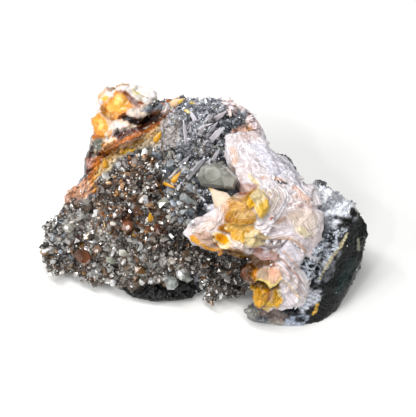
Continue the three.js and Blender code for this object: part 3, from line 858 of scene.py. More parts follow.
rockStrokes = [
    # pixels along the stroke, reach, colour
    ([(60, 214), (66, 204), (76, 196)], 2.6, "#cfa68e"),  # salmon spur
    ([(84, 178), (86, 186), (82, 194)], 1.5, "#c98a60"),
    *bandStrokes,
    ([(174, 118), (176, 130), (177, 142)], 1.1, "#c2b39a"),  # tan between the grey
    ([(272, 142), (282, 156), (292, 170), (302, 184)], 3.4, "#eeeaf2"),
    ([(219, 146), (224, 158), (226, 166)], 1.7, "#101013"),  # painted shadow in the gap before the pink slab
    # painted shadow in the gap north of it
    ([(220, 136), (226, 142)], 1.3, "#2a2c31"),
    ([(200, 196), (212, 200)], 1.8, "#2d3036"),
    ([(306, 186), (316, 190), (328, 197), (340, 205), (352, 214)], 3.8, "#eef1fa"),  # pale eastern top
    ([(314, 204), (322, 210), (334, 214), (344, 222)], 3.4, "#eceffa"),
    ([(356, 214), (360, 220)], 1.2, "#bcb7a4"),
    ([(318, 214), (330, 222), (342, 226)], 2.0, "#e3e6f0"),
    ([(318, 258), (322, 264), (326, 268)], 1.2, "#d3d5dd"),
    ([(302, 257), (308, 264), (312, 270)], 1.9, "#8d959d"),
    ([(306, 276), (316, 284), (318, 272)], 2.2, "#2a2d33"),
    ([(304, 291), (312, 297), (320, 294)], 2.0, "#dfe1ea"),
    ([(286, 308), (294, 314), (304, 320)], 2.6, "#20242c"),
    ([(262, 312), (274, 315), (284, 318)], 1.4, "#8c7c76"),
    ([(298, 305), (308, 308), (314, 306)], 1.8, "#e6ebf8"),
    ([(288, 322), (298, 324), (306, 318)], 1.5, "#bcc6da"),
    ([(350, 232), (352, 250), (346, 270), (336, 292), (327, 308), (322, 318)], 5.0, "#020605"),  # dark east
    ([(358, 226), (362, 246), (356, 266), (344, 292)], 4.8, "#040a09"),
    ([(352, 262), (346, 276), (340, 288)], 1.6, "#162a29"),
    ([(300, 296), (308, 300), (315, 298)], 1.6, "#dcdfea"),
    ([(358, 240), (359, 249)], 0.5, "#9a9a84"),
    ([(317, 304), (316, 310), (313, 314)], 0.35, "#e0b450"),
    ([(136, 290), (150, 292), (166, 293), (180, 291)], 5.4, "#020204"),  # the southern ledge, undercut below the crust: its dark rock painted black as shadow
    ([(250, 298), (254, 306), (250, 314)], 1.9, "#8d8c86"),
    ([(226, 258), (236, 266), (240, 276), (232, 284)], 2.0, "#1d1a18"),  # painted shadow in the hollow under the shells
]


def breakMass(points, settings, seed):
    size, height = settings["lumps"]
    lift = settings["grow"] + height * swell(points, size, seed, 2)
    for i, (chipSize, steep) in enumerate(settings["chips"]):
        offset, way, number, edge = chips(points, chipSize, seed + 31 * i)
        lift += steep * np.einsum("ij,ij->i", offset, way) + steep * 0.35 * chipSize * (number - 0.5)
    return lift, number, edge


def pushOut(points, normals, lift):
    # moves a mass along its normals, but keeps its foot where it rests
    calm = smoothstep(points[:, 2], 0.2, 2.5)
    points = points + normals * (lift * calm)[:, None]
    points[:, 2] = np.maximum(points[:, 2], 0)
    return points


def bandFibres(points):
    # where the rusty band is, and its fibres along it
    fibres = wrinkles(stretched(points, pixelWay(0.72, -0.7), 7.0), 0.7, 73, 2)
    return strokeWeight(points, bandLine, 3.4, 0.3, 0.3), fibres


def fibreShade(banded, fibres):
    # how much lighter or darker the band is on its fibres and between them
    return banded * (1.1 * smoothstep(fibres, 0.15, 0.85) - 0.5)


def speckleEast(points, normals, colours):
    # dark galena and silver calcite, mixed in fine leaning grains
    spots, facing = seenSpots(points, normals, 1.0)
    grain = 0.6 * wrinkles(stretched(points, cleavageWay, 0.5), 1.1, 59)
    speckle = smoothstep(grain + 0.4 * wrinkles(points, 2.6, 63), 0.42, 0.72)
    for outline in eastPatch:
        patch = (facing * zoneWeight(spots, outline, 1.4))[:, None]
        colours += patch * (blendColours(speckle, "#0d1014", "#d3dae6") - colours)
    paint(points, colours, [paleEdge])


fine, points, normals = fineMass("galena_matrix", rock["voxel"], rock["smoothing"])
lift, number, edge = breakMass(points, rock, 5)
spacing, height = rock["striation"]
grooves = np.sin((points @ cleavageWay + 0.5 * swell(points, 3.0, 55, 2)) * 2 * math.pi / spacing)
striped = strokeWeight(points, eastFace, 4.6) * (0.4 + 0.6 * smoothstep(swell(points, 4.0, 56), -0.3, 0.4))
eastSide = strokeWeight(points, *darkSide)
calm = 1 - np.maximum(0.5 * striped, 0.8 * eastSide)  # less broken where it cleaved clean
banded, fibres = bandFibres(points)
lift = lift * calm * (1 - 0.5 * banded) + height * grooves * striped
lift += banded * rock["fibre"] * (fibres - 0.5)
rockPoints = pushOut(points, normals, lift)
colours = blendColours(np.clip(0.32 + 0.5 * number + 0.4 * swell(points, 2.4, 9, 3), 0, 1), rock["dull"],
                       rock["bright"])
veins = smoothstep(swell(points, 7.0, 21, 3), 0.35, 0.75)[:, None]
colours += veins * (linear(rock["carbonate"]) - colours) * 0.7
paint(points, colours, rockStrokes)
paintZones(points, normals, colours, crestZones, 1.0, 2.0)
colours *= (1 + fibreShade(banded, fibres))[:, None]
speckleEast(points, normals, colours)
colours *= (1 + 0.3 * striped * grooves)[:, None]
cracks = strokeWeight(points, *crackedTop)
colours *= (1 - 0.6 * cracks * (1 - smoothstep(wrinkles(points, 3.0, 57), 0.35, 0.6)))[:, None]
colours *= (0.55 + 0.45 * smoothstep(edge, 0.0, 0.3))[:, None]  # painted shade between the facets
colours *= (1 + 0.3 * cracks)[:, None]  # painted light: the cracked eastern top lighter, as lit from above
place(finishMass("galenaRock", fine, rockPoints, colours), galenaRock, "galena_rock", "galena_matrix")
rockMass = massOf(rockPoints, normals, fine, colours)

# crystal shapes that the rock and the druse share
rng = np.random.default_rng(7)
prisms = [prismShape(0.75, 0.35, 0.3), prismShape(1.0, 0.5, 0.05), prismShape(0.6, 0.2, 0.6)]
grains = [chipShape(rng) for i in range(5)]
smallGrains = [chipShape(rng, 7) for i in range(4)]
blocks = [blockShape(rng) for i in range(4)]


def ownTints(rng, places, colours):
    # the colour of the rock that a grain stands on, lighter or darker
    return np.clip(colours * np.exp(0.45 * rng.normal(size=(len(places), 1))), 0, 1)


def frontShare(normals):
    # the share of the crystals that grow here: the best face has most, and the resting side none
    return 0.08 + smoothstep(normals @ bestSide, -0.1, 0.5)


greyZone = [[(180, 110), (196, 108), (208, 112), (212, 128), (204, 136), (190, 138), (182, 150),
             (196, 156), (212, 154), (196, 176), (186, 194), (204, 200), (200, 222), (190, 210)], 4.0]
darkLump = [(223, 129), (230, 124), (238, 121), (245, 116)]

greyTints = paletteOf("#a6a9b0", "#787b82", "#d0d3da", "#4a4c51", "#eceef4", "#8e908a", "#b4b7c0")
darkTints = paletteOf("#5c5f65", "#7b7e84", "#3c3e42", "#a3a7ae")
grainBed = bedOf(4200, (0.35, 1.2), (0.7, 1.2), lean=0.8, apart=0.0, sink=0.15)
cubeBed = bedOf(2100, (0.35, 1.4), (0.7, 1.1), lean=0.7, apart=0.32, sink=0.15)
lumpBed = bedOf(160, (0.5, 1.1), (0.8, 1.4), lean=0.6, apart=0.3, sink=-0.2)
northSide = [[(242, 104), (254, 114), (260, 130), (250, 138), (234, 138)], 2.8]
offTable = smoothstep(rockPoints[:, 2], 0.6, 1.6)
bareNorth = 1 - 0.9 * strokeWeight(rockPoints, *northSide)
fewGrains, fewCubes, fewLumps = 0.003, 0.001, 1e-6  # the least chance of a crystal anywhere
heap = newHeap()
grainShare = offTable * 0.5 * (1 - 0.85 * eastSide) * bareNorth + fewGrains
crystalSet(rng, rockMass, heap, grains + smallGrains, ownTints, grainShare, grainBed)
place(heapPiece("rockGrains", heap), galenaRock, "galena_rock")
heap = newHeap()
cubeShare = strokeWeight(rockPoints, *greyZone) * offTable * bareNorth + fewCubes
crystalSet(rng, rockMass, heap, blocks + grains, greyTints, cubeShare, cubeBed)
lumpShare = strokeWeight(rockPoints, darkLump, 1.0) + fewLumps
crystalSet(rng, rockMass, heap, blocks + grains, darkTints, lumpShare, lumpBed)
place(heapPiece("galenaCubes", heap), galenaMetal, "galena_rock")

# pale barite laths that stand in the grey galena
greyLaths = [bladeShape(rng, 6, 4, 0.2, 0.1, 0.09, -0.05 * i, 0.2) for i in range(3)]
greyLathSpecs = [
    # root pixel, tip pixel, width, off the stone at root and tip, roll, root, body and tip colour
    ((187, 145), (184, 120), 0.9, (1.2, 1.9), 25, "#a8a2a6", "#c3bdc4", "#d2cdd4"),
    ((201, 131), (214, 113), 1.6, (1.3, 2.3), 35, "#b3aeb4", "#ccc7ce", "#d9d5dc"),
    ((206, 136), (218, 122), 1.2, (1.3, 2.1), 20, "#a39ea4", "#bab5bc", "#cfcad2"),
    ((199, 136), (204, 126), 1.3, (1.2, 1.7), 0, "#aaa5ab", "#c3bec5", "#cfcad2"),
    ((211, 140), (224, 127), 1.6, (1.2, 1.9), 10, "#b0abb0", "#d0ccd2", "#dcd8de"),
    ((196, 122), (190, 110), 1.2, (1.0, 1.5), 10, "#a8a4aa", "#c0bcc3", "#cfcbd2"),
    ((213, 160), (220, 148), 0.9, (1.1, 1.7), 10, "#9a989c", "#bab8bd", "#c8c6cc"),
    ((193, 172), (206, 159), 1.4, (1.1, 1.8), 30, "#a3a1a5", "#bcbabf", "#cac8ce"),
    ((188, 178), (199, 165), 1.2, (1.1, 1.8), 20, "#9a9a9e", "#b4b3b8", "#c6c5ca"),
    ((180, 165), (190, 156), 1.2, (0.9, 1.5), -10, "#9c9aa0", "#b3b1b7", "#c3c1c8"),
    ((170, 180), (184, 167), 1.6, (0.9, 1.6), 25, "#a79f9c", "#c2b9b4", "#cdc6c2"),
    ((226, 114), (237, 107), 1.6, (1.0, 1.7), 20, "#b5a8a6", "#d3c6c4", "#ddd3d2"),
    ((214, 120), (226, 112), 1.3, (1.1, 1.7), 15, "#a8a0a4", "#c3bbbf", "#d3ccd0"),
]
greyBeds = [
    {"along": greyZone[0][:6], "reach": 4.2, "count": 70, "to": (0.35, -0.95), "length": (1.6, 3.4),
     "width": (0.5, 1.0), "lift": (10, 45), "fan": 50, "sink": 0.0, "apart": 1.0,
     "root": ["#8c898e", "#a3a0a6"], "tip": ["#c3bfc8", "#d6d2da", "#b0adb3"]},
    {"along": greyZone[0][6:], "reach": 3.6, "count": 50, "to": (0.8, -0.6), "length": (1.4, 3.0),
     "width": (0.5, 1.0), "lift": (10, 40), "fan": 50, "sink": 0.0, "apart": 1.0,
     "root": ["#85868c", "#9c9da3"], "tip": ["#b9bac2", "#d0d1d9", "#a3a4aa"]},
]
heap = newHeap()
for bed in greyBeds:
    layBlades(rng, rockMass, heap, greyLaths, bed)
for i, spec in enumerate(greyLathSpecs):
    heroBlade(heap, greyLaths[i % len(greyLaths)], spec)
place(heapPiece("paleBariteLaths", heap, True), pearlyBarite, "pink_barite")


# crest: honey-coloured barite under a white crust

crest = {
    "voxel": 0.3,
    "smoothing": 3,
    "grow": 0.1,
    "lumps": (3.4, 0.5),
    "chips": ((3.6, 0.3), (1.5, 0.14)),
    "depth": 0.95,  # how much darker than painted
    "white": "#e6d9cc",
    "amber": "#d68f26",
}
capZones = [
    # outline in pixels, colour
    ([(93, 136), (93, 122), (96, 108), (99, 100), (107, 93), (120, 88), (130, 86), (150, 84), (155, 88),
      (157, 98), (148, 104), (136, 108), (120, 96), (104, 98), (99, 110), (97, 126)], "#ece4e0"),
    ([(132, 89), (140, 90), (142, 94), (134, 94)], "#dccfa0"),
    ([(144, 92), (148, 92), (140, 104), (136, 102)], "#dccdb4"),
    ([(99, 105), (103, 110), (109, 117), (114, 120), (121, 120), (125, 116), (128, 112), (132, 109),
      (136, 107), (134, 102), (130, 97), (125, 93), (120, 91), (115, 94), (112, 99), (107, 103),
      (103, 103)], "#dc9020"),
    ([(112, 102), (116, 96), (122, 95), (126, 101), (125, 108), (119, 112), (112, 112), (107, 109)],
      "#efb248"),
    # painted highlight on the golden lobe
    ([(115, 98), (120, 96), (122, 102), (118, 107), (114, 105)], "#f6c868"),
    ([(118, 92), (124, 91), (131, 95), (137, 99), (144, 104), (140, 109), (135, 107), (130, 103),
      (125, 97)], "#944c0c"),
    ([(128, 96), (134, 98), (140, 103), (136, 106), (131, 102)], "#70300a"),
    ([(102, 97), (106, 95), (110, 97), (107, 102), (103, 101)], "#e6b848"),
    ([(99, 104), (102, 105), (108, 112), (114, 116), (115, 121), (108, 120), (102, 114), (98, 109)],
      "#a86a1c"),
    ([(106, 113), (111, 112), (113, 117), (108, 118)], "#cf9430"),
    ([(118, 116), (125, 112), (128, 116), (126, 121), (119, 121)], "#7c3c10"),
    ([(94, 118), (99, 113), (104, 118), (108, 124), (107, 131), (103, 138), (97, 137), (94, 130)],
      "#e69c2c"),
    # painted highlight on the lower golden lobe
    ([(98, 120), (102, 119), (105, 125), (103, 131), (99, 129)], "#f6c468"),
    ([(94, 132), (98, 133), (102, 138), (98, 141), (93, 138)], "#c06a12"),
    ([(110, 124), (116, 121), (124, 124), (131, 127), (124, 131), (118, 132), (112, 138), (107, 143),
      (103, 141), (106, 133)], "#e8dad0"),
    ([(114, 131), (118, 128), (121, 133), (117, 137), (113, 136)], "#4c4440"),
    ([(106, 132), (111, 128), (112, 134), (108, 139)], "#d9a878"),
    *crestZones,
    ([(127, 110), (133, 108), (139, 109), (138, 114), (132, 117), (128, 114)], "#e6d6cc"),
]
fine, points, normals = fineMass("honey_barite_crest", crest["voxel"], crest["smoothing"])
lift, number, edge = breakMass(points, crest, 35)
banded, fibres = bandFibres(points)
crestPoints = pushOut(points, normals, lift * (1 - 0.5 * banded) + banded * rock["fibre"] * (fibres - 0.5))
cloud = np.clip(0.45 + 0.6 * swell(points, 3.4, 41, 3), 0, 1)
colours = blendColours(cloud, crest["white"], crest["amber"])
paintZones(points, normals, colours, capZones, 1.1, 1.0)
# painted glow on the crest: lighter along the crests of the wrinkles, with darker veins between them
glow = wrinkles(points, 1.3, 47, 2)
colours = crest["depth"] * colours * colours.max(axis=1, keepdims=True) ** 0.25
colours *= ((0.8 + 0.35 * glow) * (1 + fibreShade(banded, fibres)))[:, None]
crestPiece = finishMass("honeyBariteCrest", fine, crestPoints, colours, True)
place(crestPiece, honeyBarite, "honey_barite", "honey_barite_crest")
crestMass = massOf(crestPoints, normals, fine, colours)


# the rusty band of barite laths between the crest and the druse

laths = [bladeShape(rng, 4, 2, 0.5, 0.05, 0.06, -0.05 * i) for i in range(3)]
bandBeds = [
    # the laths lie along the stroke
    {"along": bandLine[:7], "reach": 1.6, "count": 46, "length": (2.4, 4.6), "width": (0.7, 1.4),
     "lift": (0, 5), "fan": 8, "root": ["#542c10", "#7c4a1c", "#946024", "#4a220e"],
     "tip": ["#a07038", "#b88c50", "#c49c68", "#7c4a20", "#9a6640"]},
    {"along": [(97, 184), (101, 168), (112, 155), (126, 147), (140, 139), (154, 130), (164, 118)],
     "reach": 1.5, "count": 34, "length": (2.2, 4.2), "width": (0.6, 1.3), "lift": (0, 5), "fan": 10,
     "root": ["#b0885a", "#bc9a70", "#a47038"], "tip": ["#d0bc9c", "#d8c8ac", "#c49a5c", "#c8bba4"]},
    {"along": [(84, 184), (80, 192), (70, 202)], "reach": 1.8, "count": 30,
     "length": (1.6, 3.4), "width": (0.8, 1.6), "lift": (2, 12), "fan": 20,
     "root": ["#8c5a44", "#b88468"], "tip": ["#d3a48c", "#dcb8a4", "#a8745c"]},
]
heap = newHeap()
for bed in bandBeds:
    layBlades(rng, joinMasses(rockMass, crestMass), heap, laths, bed)
place(heapPiece("rustyBariteLaths", heap), honeyBarite, "honey_barite")


# druse: a crust of cerussite crystals, brown and smoky above, clear below

druse = {
    "voxel": 0.38,
    "smoothing": 3,
    "grow": 0.0,
    "lumps": (2.4, 0.75),
    "chips": ((1.6, 0.35), (0.8, 0.35)),
    "shadow": "#0d0907",
    "body": "#54402f",
}
# zones of the druse: pixels along a stroke, and its reach
brownZone = [[(98, 176), (112, 160), (134, 152), (154, 158), (158, 176), (134, 184), (112, 196),
              (134, 206), (156, 200), (160, 232), (138, 226), (110, 214)], 4.6]
greyBlueZone = [[(168, 160), (182, 172), (180, 192), (196, 204), (206, 216), (190, 222), (178, 210)], 4.8]
westGrey = [[(56, 210), (62, 224), (58, 240), (66, 256)], 2.6]
# darkZone: a dark galena patch, and the hollow under the sheets, whose darkness there is painted shade
darkZone = [[(176, 234), (184, 242), (178, 250), (226, 254), (234, 262), (240, 272), (232, 280),
             (214, 268), (196, 262)], 3.0]
ledge = [[(132, 291), (150, 293), (166, 294), (182, 292)], 3.4]
paleZone = [[(62, 232), (75, 225), (95, 240), (120, 250), (140, 262), (160, 272), (180, 276),
             (196, 270)], 4.4]

fine, points, normals = fineMass("cerussite_druse", druse["voxel"], druse["smoothing"])
lift, number, edge = breakMass(points, druse, 15)
drusePoints = pushOut(points, normals, lift)
colours = blendColours(np.clip(0.2 + 0.6 * number, 0, 1), druse["shadow"], druse["body"])
# lighter where the pale crystals grow; darker in darkZone, in the hollow as painted shade
paler = 0.7 * strokeWeight(drusePoints, *paleZone) - 0.8 * strokeWeight(drusePoints, *darkZone)
colours *= 1 + paler[:, None]
crustPiece = finishMass("druseCrust", fine, drusePoints, colours)
place(crustPiece, druseCrust, "brown_cerussite", "cerussite_druse")
druseMass = massOf(drusePoints, normals, fine, colours)


def smokyTints(rng, places, colours):
    # brown in the middle, grey-blue towards the galena, and nearly black in darkZone, in the hollow as
    # painted shade
    count = len(places)
    brown = palette(rng, count, "#5c3a20", "#7c5432", "#331e12", "#1c110b", "#a07a54", "#96642e", "#e6dcd0",
                    "#744828", "#4a2e1a", "#bd9470", spread=0.2)
    grey = palette(rng, count, "#7c746c", "#9c958d", "#352f2b", "#c6c2bb", "#74543a", "#eae9e6", "#544c46",
                   "#9c7a56", spread=0.2)
    blue = palette(rng, count, "#98a0aa", "#bac2cd", "#50555d", "#dce2eb", "#f0f3fa", "#727984", spread=0.2)
    slate = palette(rng, count, "#3c4046", "#5c6068", "#848a93", "#1c1e22", "#a8afb9", spread=0.2)
    dark = palette(rng, count, "#16110e", "#2a2019", "#0d0b09", "#3d2f23", "#584430", "#b4aca2", "#4a2f18")
    pale = palette(rng, count, "#9a958f", "#c0bcb7", "#7e7268", "#dedcd9", "#97795c", "#efeeed", "#4c433c",
                   spread=0.2)
    chosen = grey
    zones = (paleZone, brownZone, greyBlueZone, westGrey, darkZone)
    for zone, tints in zip(zones, (pale, brown, blue, slate, dark)):
        inside = rng.random(count) < strokeWeight(places, *zone) * 0.92
        chosen = np.where(inside[:, None], tints, chosen)
    return chosen * (0.35 + 1.0 * smoothstep(swell(places, 5.0, 87, 2), -0.7, 0.6))[:, None]


def glassTints(rng, places, colours):
    # larger crystals show their own colour: brown above, grey below
    count = len(places)
    brown = palette(rng, count, "#5c381f", "#74492a", "#3f2515", "#7c6452", "#8f8378", spread=0.15)
    grey = palette(rng, count, "#86807a", "#a6a29c", "#544c46", "#6e4e36", "#c6c3bd", spread=0.15)
    inside = rng.random(count) < strokeWeight(places, *brownZone) * 0.85
    return np.where(inside[:, None], brown, grey)


clearTints = paletteOf("#cfcac3", "#e6e3de", "#aea8a0", "#d6d1c6", "#f2f1f0", spread=0.2)
smokyHeroes = [
    # pixel, width, length, lean in the picture, roll, colour at the root and at the tip
    ((105, 192), 2.8, 3.4, (0.2, -0.4), 10, "#3f2618", "#6b432c"),
    ((139, 210), 3.0, 4.6, (0.1, 0.8), 20, "#4a2c1c", "#86583a"),
    ((127, 223), 3.4, 3.8, (0.6, 0.2), 50, "#4c2a18", "#8c5434"),
    ((161, 229), 3.0, 3.2, (-0.2, -0.2), 15, "#5a3020", "#96583c"),
    ((153, 243), 2.4, 2.6, (0.3, 0.3), 35, "#543827", "#8c5e42"),
    ((77, 240), 2.6, 2.2, (0.5, -0.6), 12, "#3c1c10", "#6e3822"),
    ((78, 251), 3.6, 3.2, (0.3, 0.2), 25, "#44240f", "#7c4420"),
    ((84, 247), 2.8, 2.4, (0.8, 0.2), 5, "#4c300c", "#8a5a1c"),
    ((74, 246), 2.0, 2.4, (-0.4, 0.5), 5, "#3f2414", "#6b4226"),
    ((140, 269), 3.0, 3.0, (0.0, 0.1), 30, "#604016", "#a06c26"),
    ((98, 247), 2.6, 2.4, (0.2, 0.5), 40, "#5c493a", "#9a7a62"),
    ((172, 264), 2.0, 2.4, (0.3, 0.4), 22, "#52391c", "#8a6030"),
    ((156, 194), 1.8, 2.2, (0.3, -0.4), 8, "#4a3a30", "#7c6250"),
    ((116, 200), 2.0, 2.4, (-0.4, 0.1), 8, "#3d3026", "#665040"),
    ((92, 205), 2.2, 2.2, (-0.4, 0.2), 48, "#3a3028", "#625044"),
    ((197, 250), 2.2, 2.4, (0.2, 0.4), 48, "#402c1c", "#6c4a30"),
    ((222, 268), 2.4, 2.4, (0.1, 0.4), 18, "#453222", "#74543a"),
]
clearHeroes = [
    ((136, 250), 2.4, 3.6, (0.1, -0.6), 10, "#eef0ee", "#f3f5f3"),
    ((110, 260), 2.8, 2.6, (0.2, 0.2), 20, "#b4b6a8", "#dcdcd2"),
    ((73, 229), 3.0, 2.4, (-0.2, -0.2), 5, "#c3c0b2", "#d8d6cc"),
    ((164, 205), 3.4, 2.6, (0.4, -0.4), 25, "#bdbeb0", "#d4d4cb"),
    ((147, 202), 2.6, 2.8, (0.2, -0.4), 35, "#d0d0d6", "#e0e0e4"),
    ((168, 165), 2.6, 2.6, (0.5, -0.3), 15, "#c9d0d6", "#dbe0e4"),
    ((190, 222), 1.6, 2.0, (0.8, 0.4), 15, "#d0d3d6", "#e0e2e4"),
    ((188, 197), 3.4, 2.6, (0.0, 0.1), 42, "#bcc2c2", "#d3d7d7"),
    ((182, 210), 2.6, 2.8, (-0.3, 0.2), 12, "#c6ccd0", "#d9dde0"),
    ((141, 272), 2.6, 1.8, (0.0, 0.1), 30, "#a8a69a", "#d3d1c8"),
    ((170, 280), 3.4, 3.2, (0.3, 0.3), 12, "#b0b6b2", "#cbcfcc"),
    ((186, 274), 3.6, 3.4, (0.1, 0.5), 42, "#b6bcb4", "#cfd3ce"),
    ((155, 262), 2.6, 2.6, (0.3, 0.5), 42, "#a3a39e", "#c3c3bf"),
    ((121, 252), 2.8, 2.8, (0.1, 0.3), 8, "#cfccbe", "#dfddd4"),
]


def clearing(points):
    # 0 under the large crystals, so that no small ones hide them
    share = np.ones(len(points))
    for (u, v), width, *_ in smokyHeroes + clearHeroes:
        share *= 1 - strokeWeight(points, [(u, v), (u + 1, v)], 0.5 * width, 0.1, 0.1)
    return share


fineBed = bedOf(6800, (0.3, 0.9), (0.7, 1.6), lean=0.7, apart=0.3, sink=0.05)
smokyBed = bedOf(1100, (0.9, 2.1), (0.7, 1.2), lean=0.5, apart=0.9, sink=0.0)
glassBed = bedOf(420, (1.3, 2.6), (0.8, 1.2), lean=0.4, apart=1.5, sink=0.0)
clearBed = bedOf(2300, (0.4, 1.4), (0.8, 1.4), lean=0.6, apart=0.5, sink=0.15)
largeClearBed = bedOf(200, (1.5, 2.6), (0.8, 1.1), lean=0.4, apart=1.6, sink=0.0)
heap = newHeap()
druseShare = frontShare(normals) * (1 - strokeWeight(drusePoints, *ledge)) * clearing(drusePoints)
crystalSet(rng, druseMass, heap, smallGrains, smokyTints, druseShare, fineBed)
crystalSet(rng, druseMass, heap, grains + prisms, smokyTints, druseShare, smokyBed)
glassShapes = [chipShape(rng, 12) for i in range(4)]
crystalSet(rng, druseMass, heap, glassShapes, glassTints, druseShare, glassBed)
heroShapes = [chipShape(rng, 11), chipShape(rng, 14), prismShape(0.8, 0.3, 0.4), chipShape(rng, 9)]
for i, spec in enumerate(smokyHeroes):
    heroCrystal(heap, heroShapes[i % len(heroShapes)], spec)
place(heapPiece("smokyCrystals", heap, veil=0.7), smokyCerussite, "brown_cerussite")

heap = newHeap()
paleShare = 0.1 + strokeWeight(drusePoints, *paleZone) + 0.6 * strokeWeight(drusePoints, *greyBlueZone)
paleShare *= druseShare
# few pale crystals in darkZone, so that the hollow stays dark as painted shade
paleShare *= 1 - 0.9 * strokeWeight(drusePoints, *darkZone)
crystalSet(rng, druseMass, heap, grains + prisms, clearTints, paleShare, clearBed)
crystalSet(rng, druseMass, heap, glassShapes, clearTints, paleShare, largeClearBed)
for i, spec in enumerate(clearHeroes):
    heroCrystal(heap, heroShapes[i % len(heroShapes)], spec)
place(heapPiece("clearDruseCrystals", heap, veil=0.6), clearCerussite, "clear_cerussite")

# tiny white and black crystals between the others, which make the druse and the galena glitter: the white
# ones are painted glints, the black ones painted shade between the grains
stone = joinMasses(rockMass, druseMass, crestMass)
glitterZone = [[(60, 220), (80, 245), (110, 240), (100, 200), (100, 175), (130, 155), (160, 150),
                (150, 190), (180, 170), (190, 120), (215, 120), (200, 150), (190, 200), (170, 230),
                (130, 260), (160, 275), (200, 260), (215, 285)], 6.0]
glitterShare = strokeWeight(stone["points"], *glitterZone)
glitterShare += 0.03 * smoothstep(stone["points"][:, 2], 0.6, 1.6)
glitterShare *= 1 - strokeWeight(stone["points"], *ledge)
glitterShare *= clearing(stone["points"]) * (1 - 0.8 * strokeWeight(stone["points"], *northSide))
glitterShare += strokeWeight(stone["points"], [(138, 112), (148, 107), (160, 104)], 1.8)

# white: painted glints; black: painted shade between the grains
whiteGlintTints = paletteOf("#ffffff", "#f4f2ee", "#fafaff")
blackShadeTints = paletteOf("#141211", "#211c19", "#2e2a28")
whiteBed = bedOf(3800, (0.2, 0.5), (0.8, 1.6), lean=0.6, apart=0.34, sink=-0.7)
blackBed = bedOf(2200, (0.25, 0.6), (0.8, 1.4), lean=0.6, apart=0.4, sink=-0.5)
heap = newHeap()
crystalSet(rng, stone, heap, smallGrains, whiteGlintTints, glitterShare, whiteBed)
crystalSet(rng, stone, heap, smallGrains, blackShadeTints, glitterShare, blackBed)
place(heapPiece("glitterCrystals", heap), smokyCerussite, "clear_cerussite")


# pink barite: a mass of overlapping pearly sheets, yellow and orange at their rims

pink = {
    "voxel": 0.34,
    "smoothing": 3,
    "window": (188, 134, 326, 316),  # the pixels, from corner to corner, that get finer faces
    "grow": 0.2,
    "lumps": (4.2, 0.25),  # size and height, as for the next two
    "wrinkle": (1.3, 0.32),
    "ripple": (0.6, 0.22),
    "white": "#eee7ea",
    "rose": "#e2b5a6",
    "ragged": 0.6,  # how far painted edges wander, in pixels
    "silk": (0.45, 0.26),  # width and height of the fibres
    "cave": 1.3,  # depth to which the hollow under the sheets is pushed back; it is painted dark as shade
    # the hollow's colour: painted shadow
    "caveShadowHex": "#15100c",
    "depth": (0.9, 1.08),  # how much darker and more saturated than painted
}
slabArea = [(240, 144), (252, 158), (264, 170), (276, 180), (286, 176), (276, 160), (264, 146)]
pinkStrokes = [
    # pixels along the stroke, reach, colour
    ([(234, 150), (235, 160), (234, 168)], 1.2, "#f0d0c0"),  # peach western flange
    ([(250, 176), (254, 181), (258, 187)], 0.9, "#f2dfb0"),
    ([(268, 140), (280, 156), (290, 170), (298, 182)], 3.6, "#eeeaf4"),
    ([(262, 150), (272, 164), (278, 174)], 2.8, "#e9e6f0"),  # lilac-white east of the slab
    ([(262, 178), (272, 178), (284, 182)], 0.6, "#ecc8b4"),
    ([(284, 160), (292, 172), (298, 182)], 1.2, "#cfccd2"),  # speckled grey rim
    ([(280, 182), (286, 184)], 0.6, "#5c5a5e"),
    # the hollow below the slab: its rose colour, darkened here as painted shade
    ([(238, 186), (246, 186), (254, 188)], 1.4, "#c9a29c"),
    ([(238, 192), (246, 193), (251, 191)], 0.9, "#a85c40"),
    ([(234, 186), (233, 191)], 1.0, "#c9bcc0"),
    ([(296, 218), (306, 226), (300, 232)], 2.2, "#e3cfc0"),
    ([(250, 232), (262, 232), (270, 232)], 1.2, "#ecdcd6"),
    # painted shade on the top of the lower orange sheet
    ([(252, 258), (262, 262), (272, 262)], 1.6, "#8c6238"),
    ([(218, 253), (230, 255), (240, 257), (248, 258)], 1.3, "#5c3c0c"),
    ([(284, 246), (292, 252), (290, 262)], 2.2, "#e4dfe8"),
    ([(242, 260), (239, 269), (241, 279), (246, 283)], 1.8, "#7c4c10"),
    ([(249, 286), (250, 295), (254, 303), (260, 308)], 1.5, "#a07412"),
    ([(286, 290), (292, 298), (296, 304)], 2.0, "#efe8ec"),
]
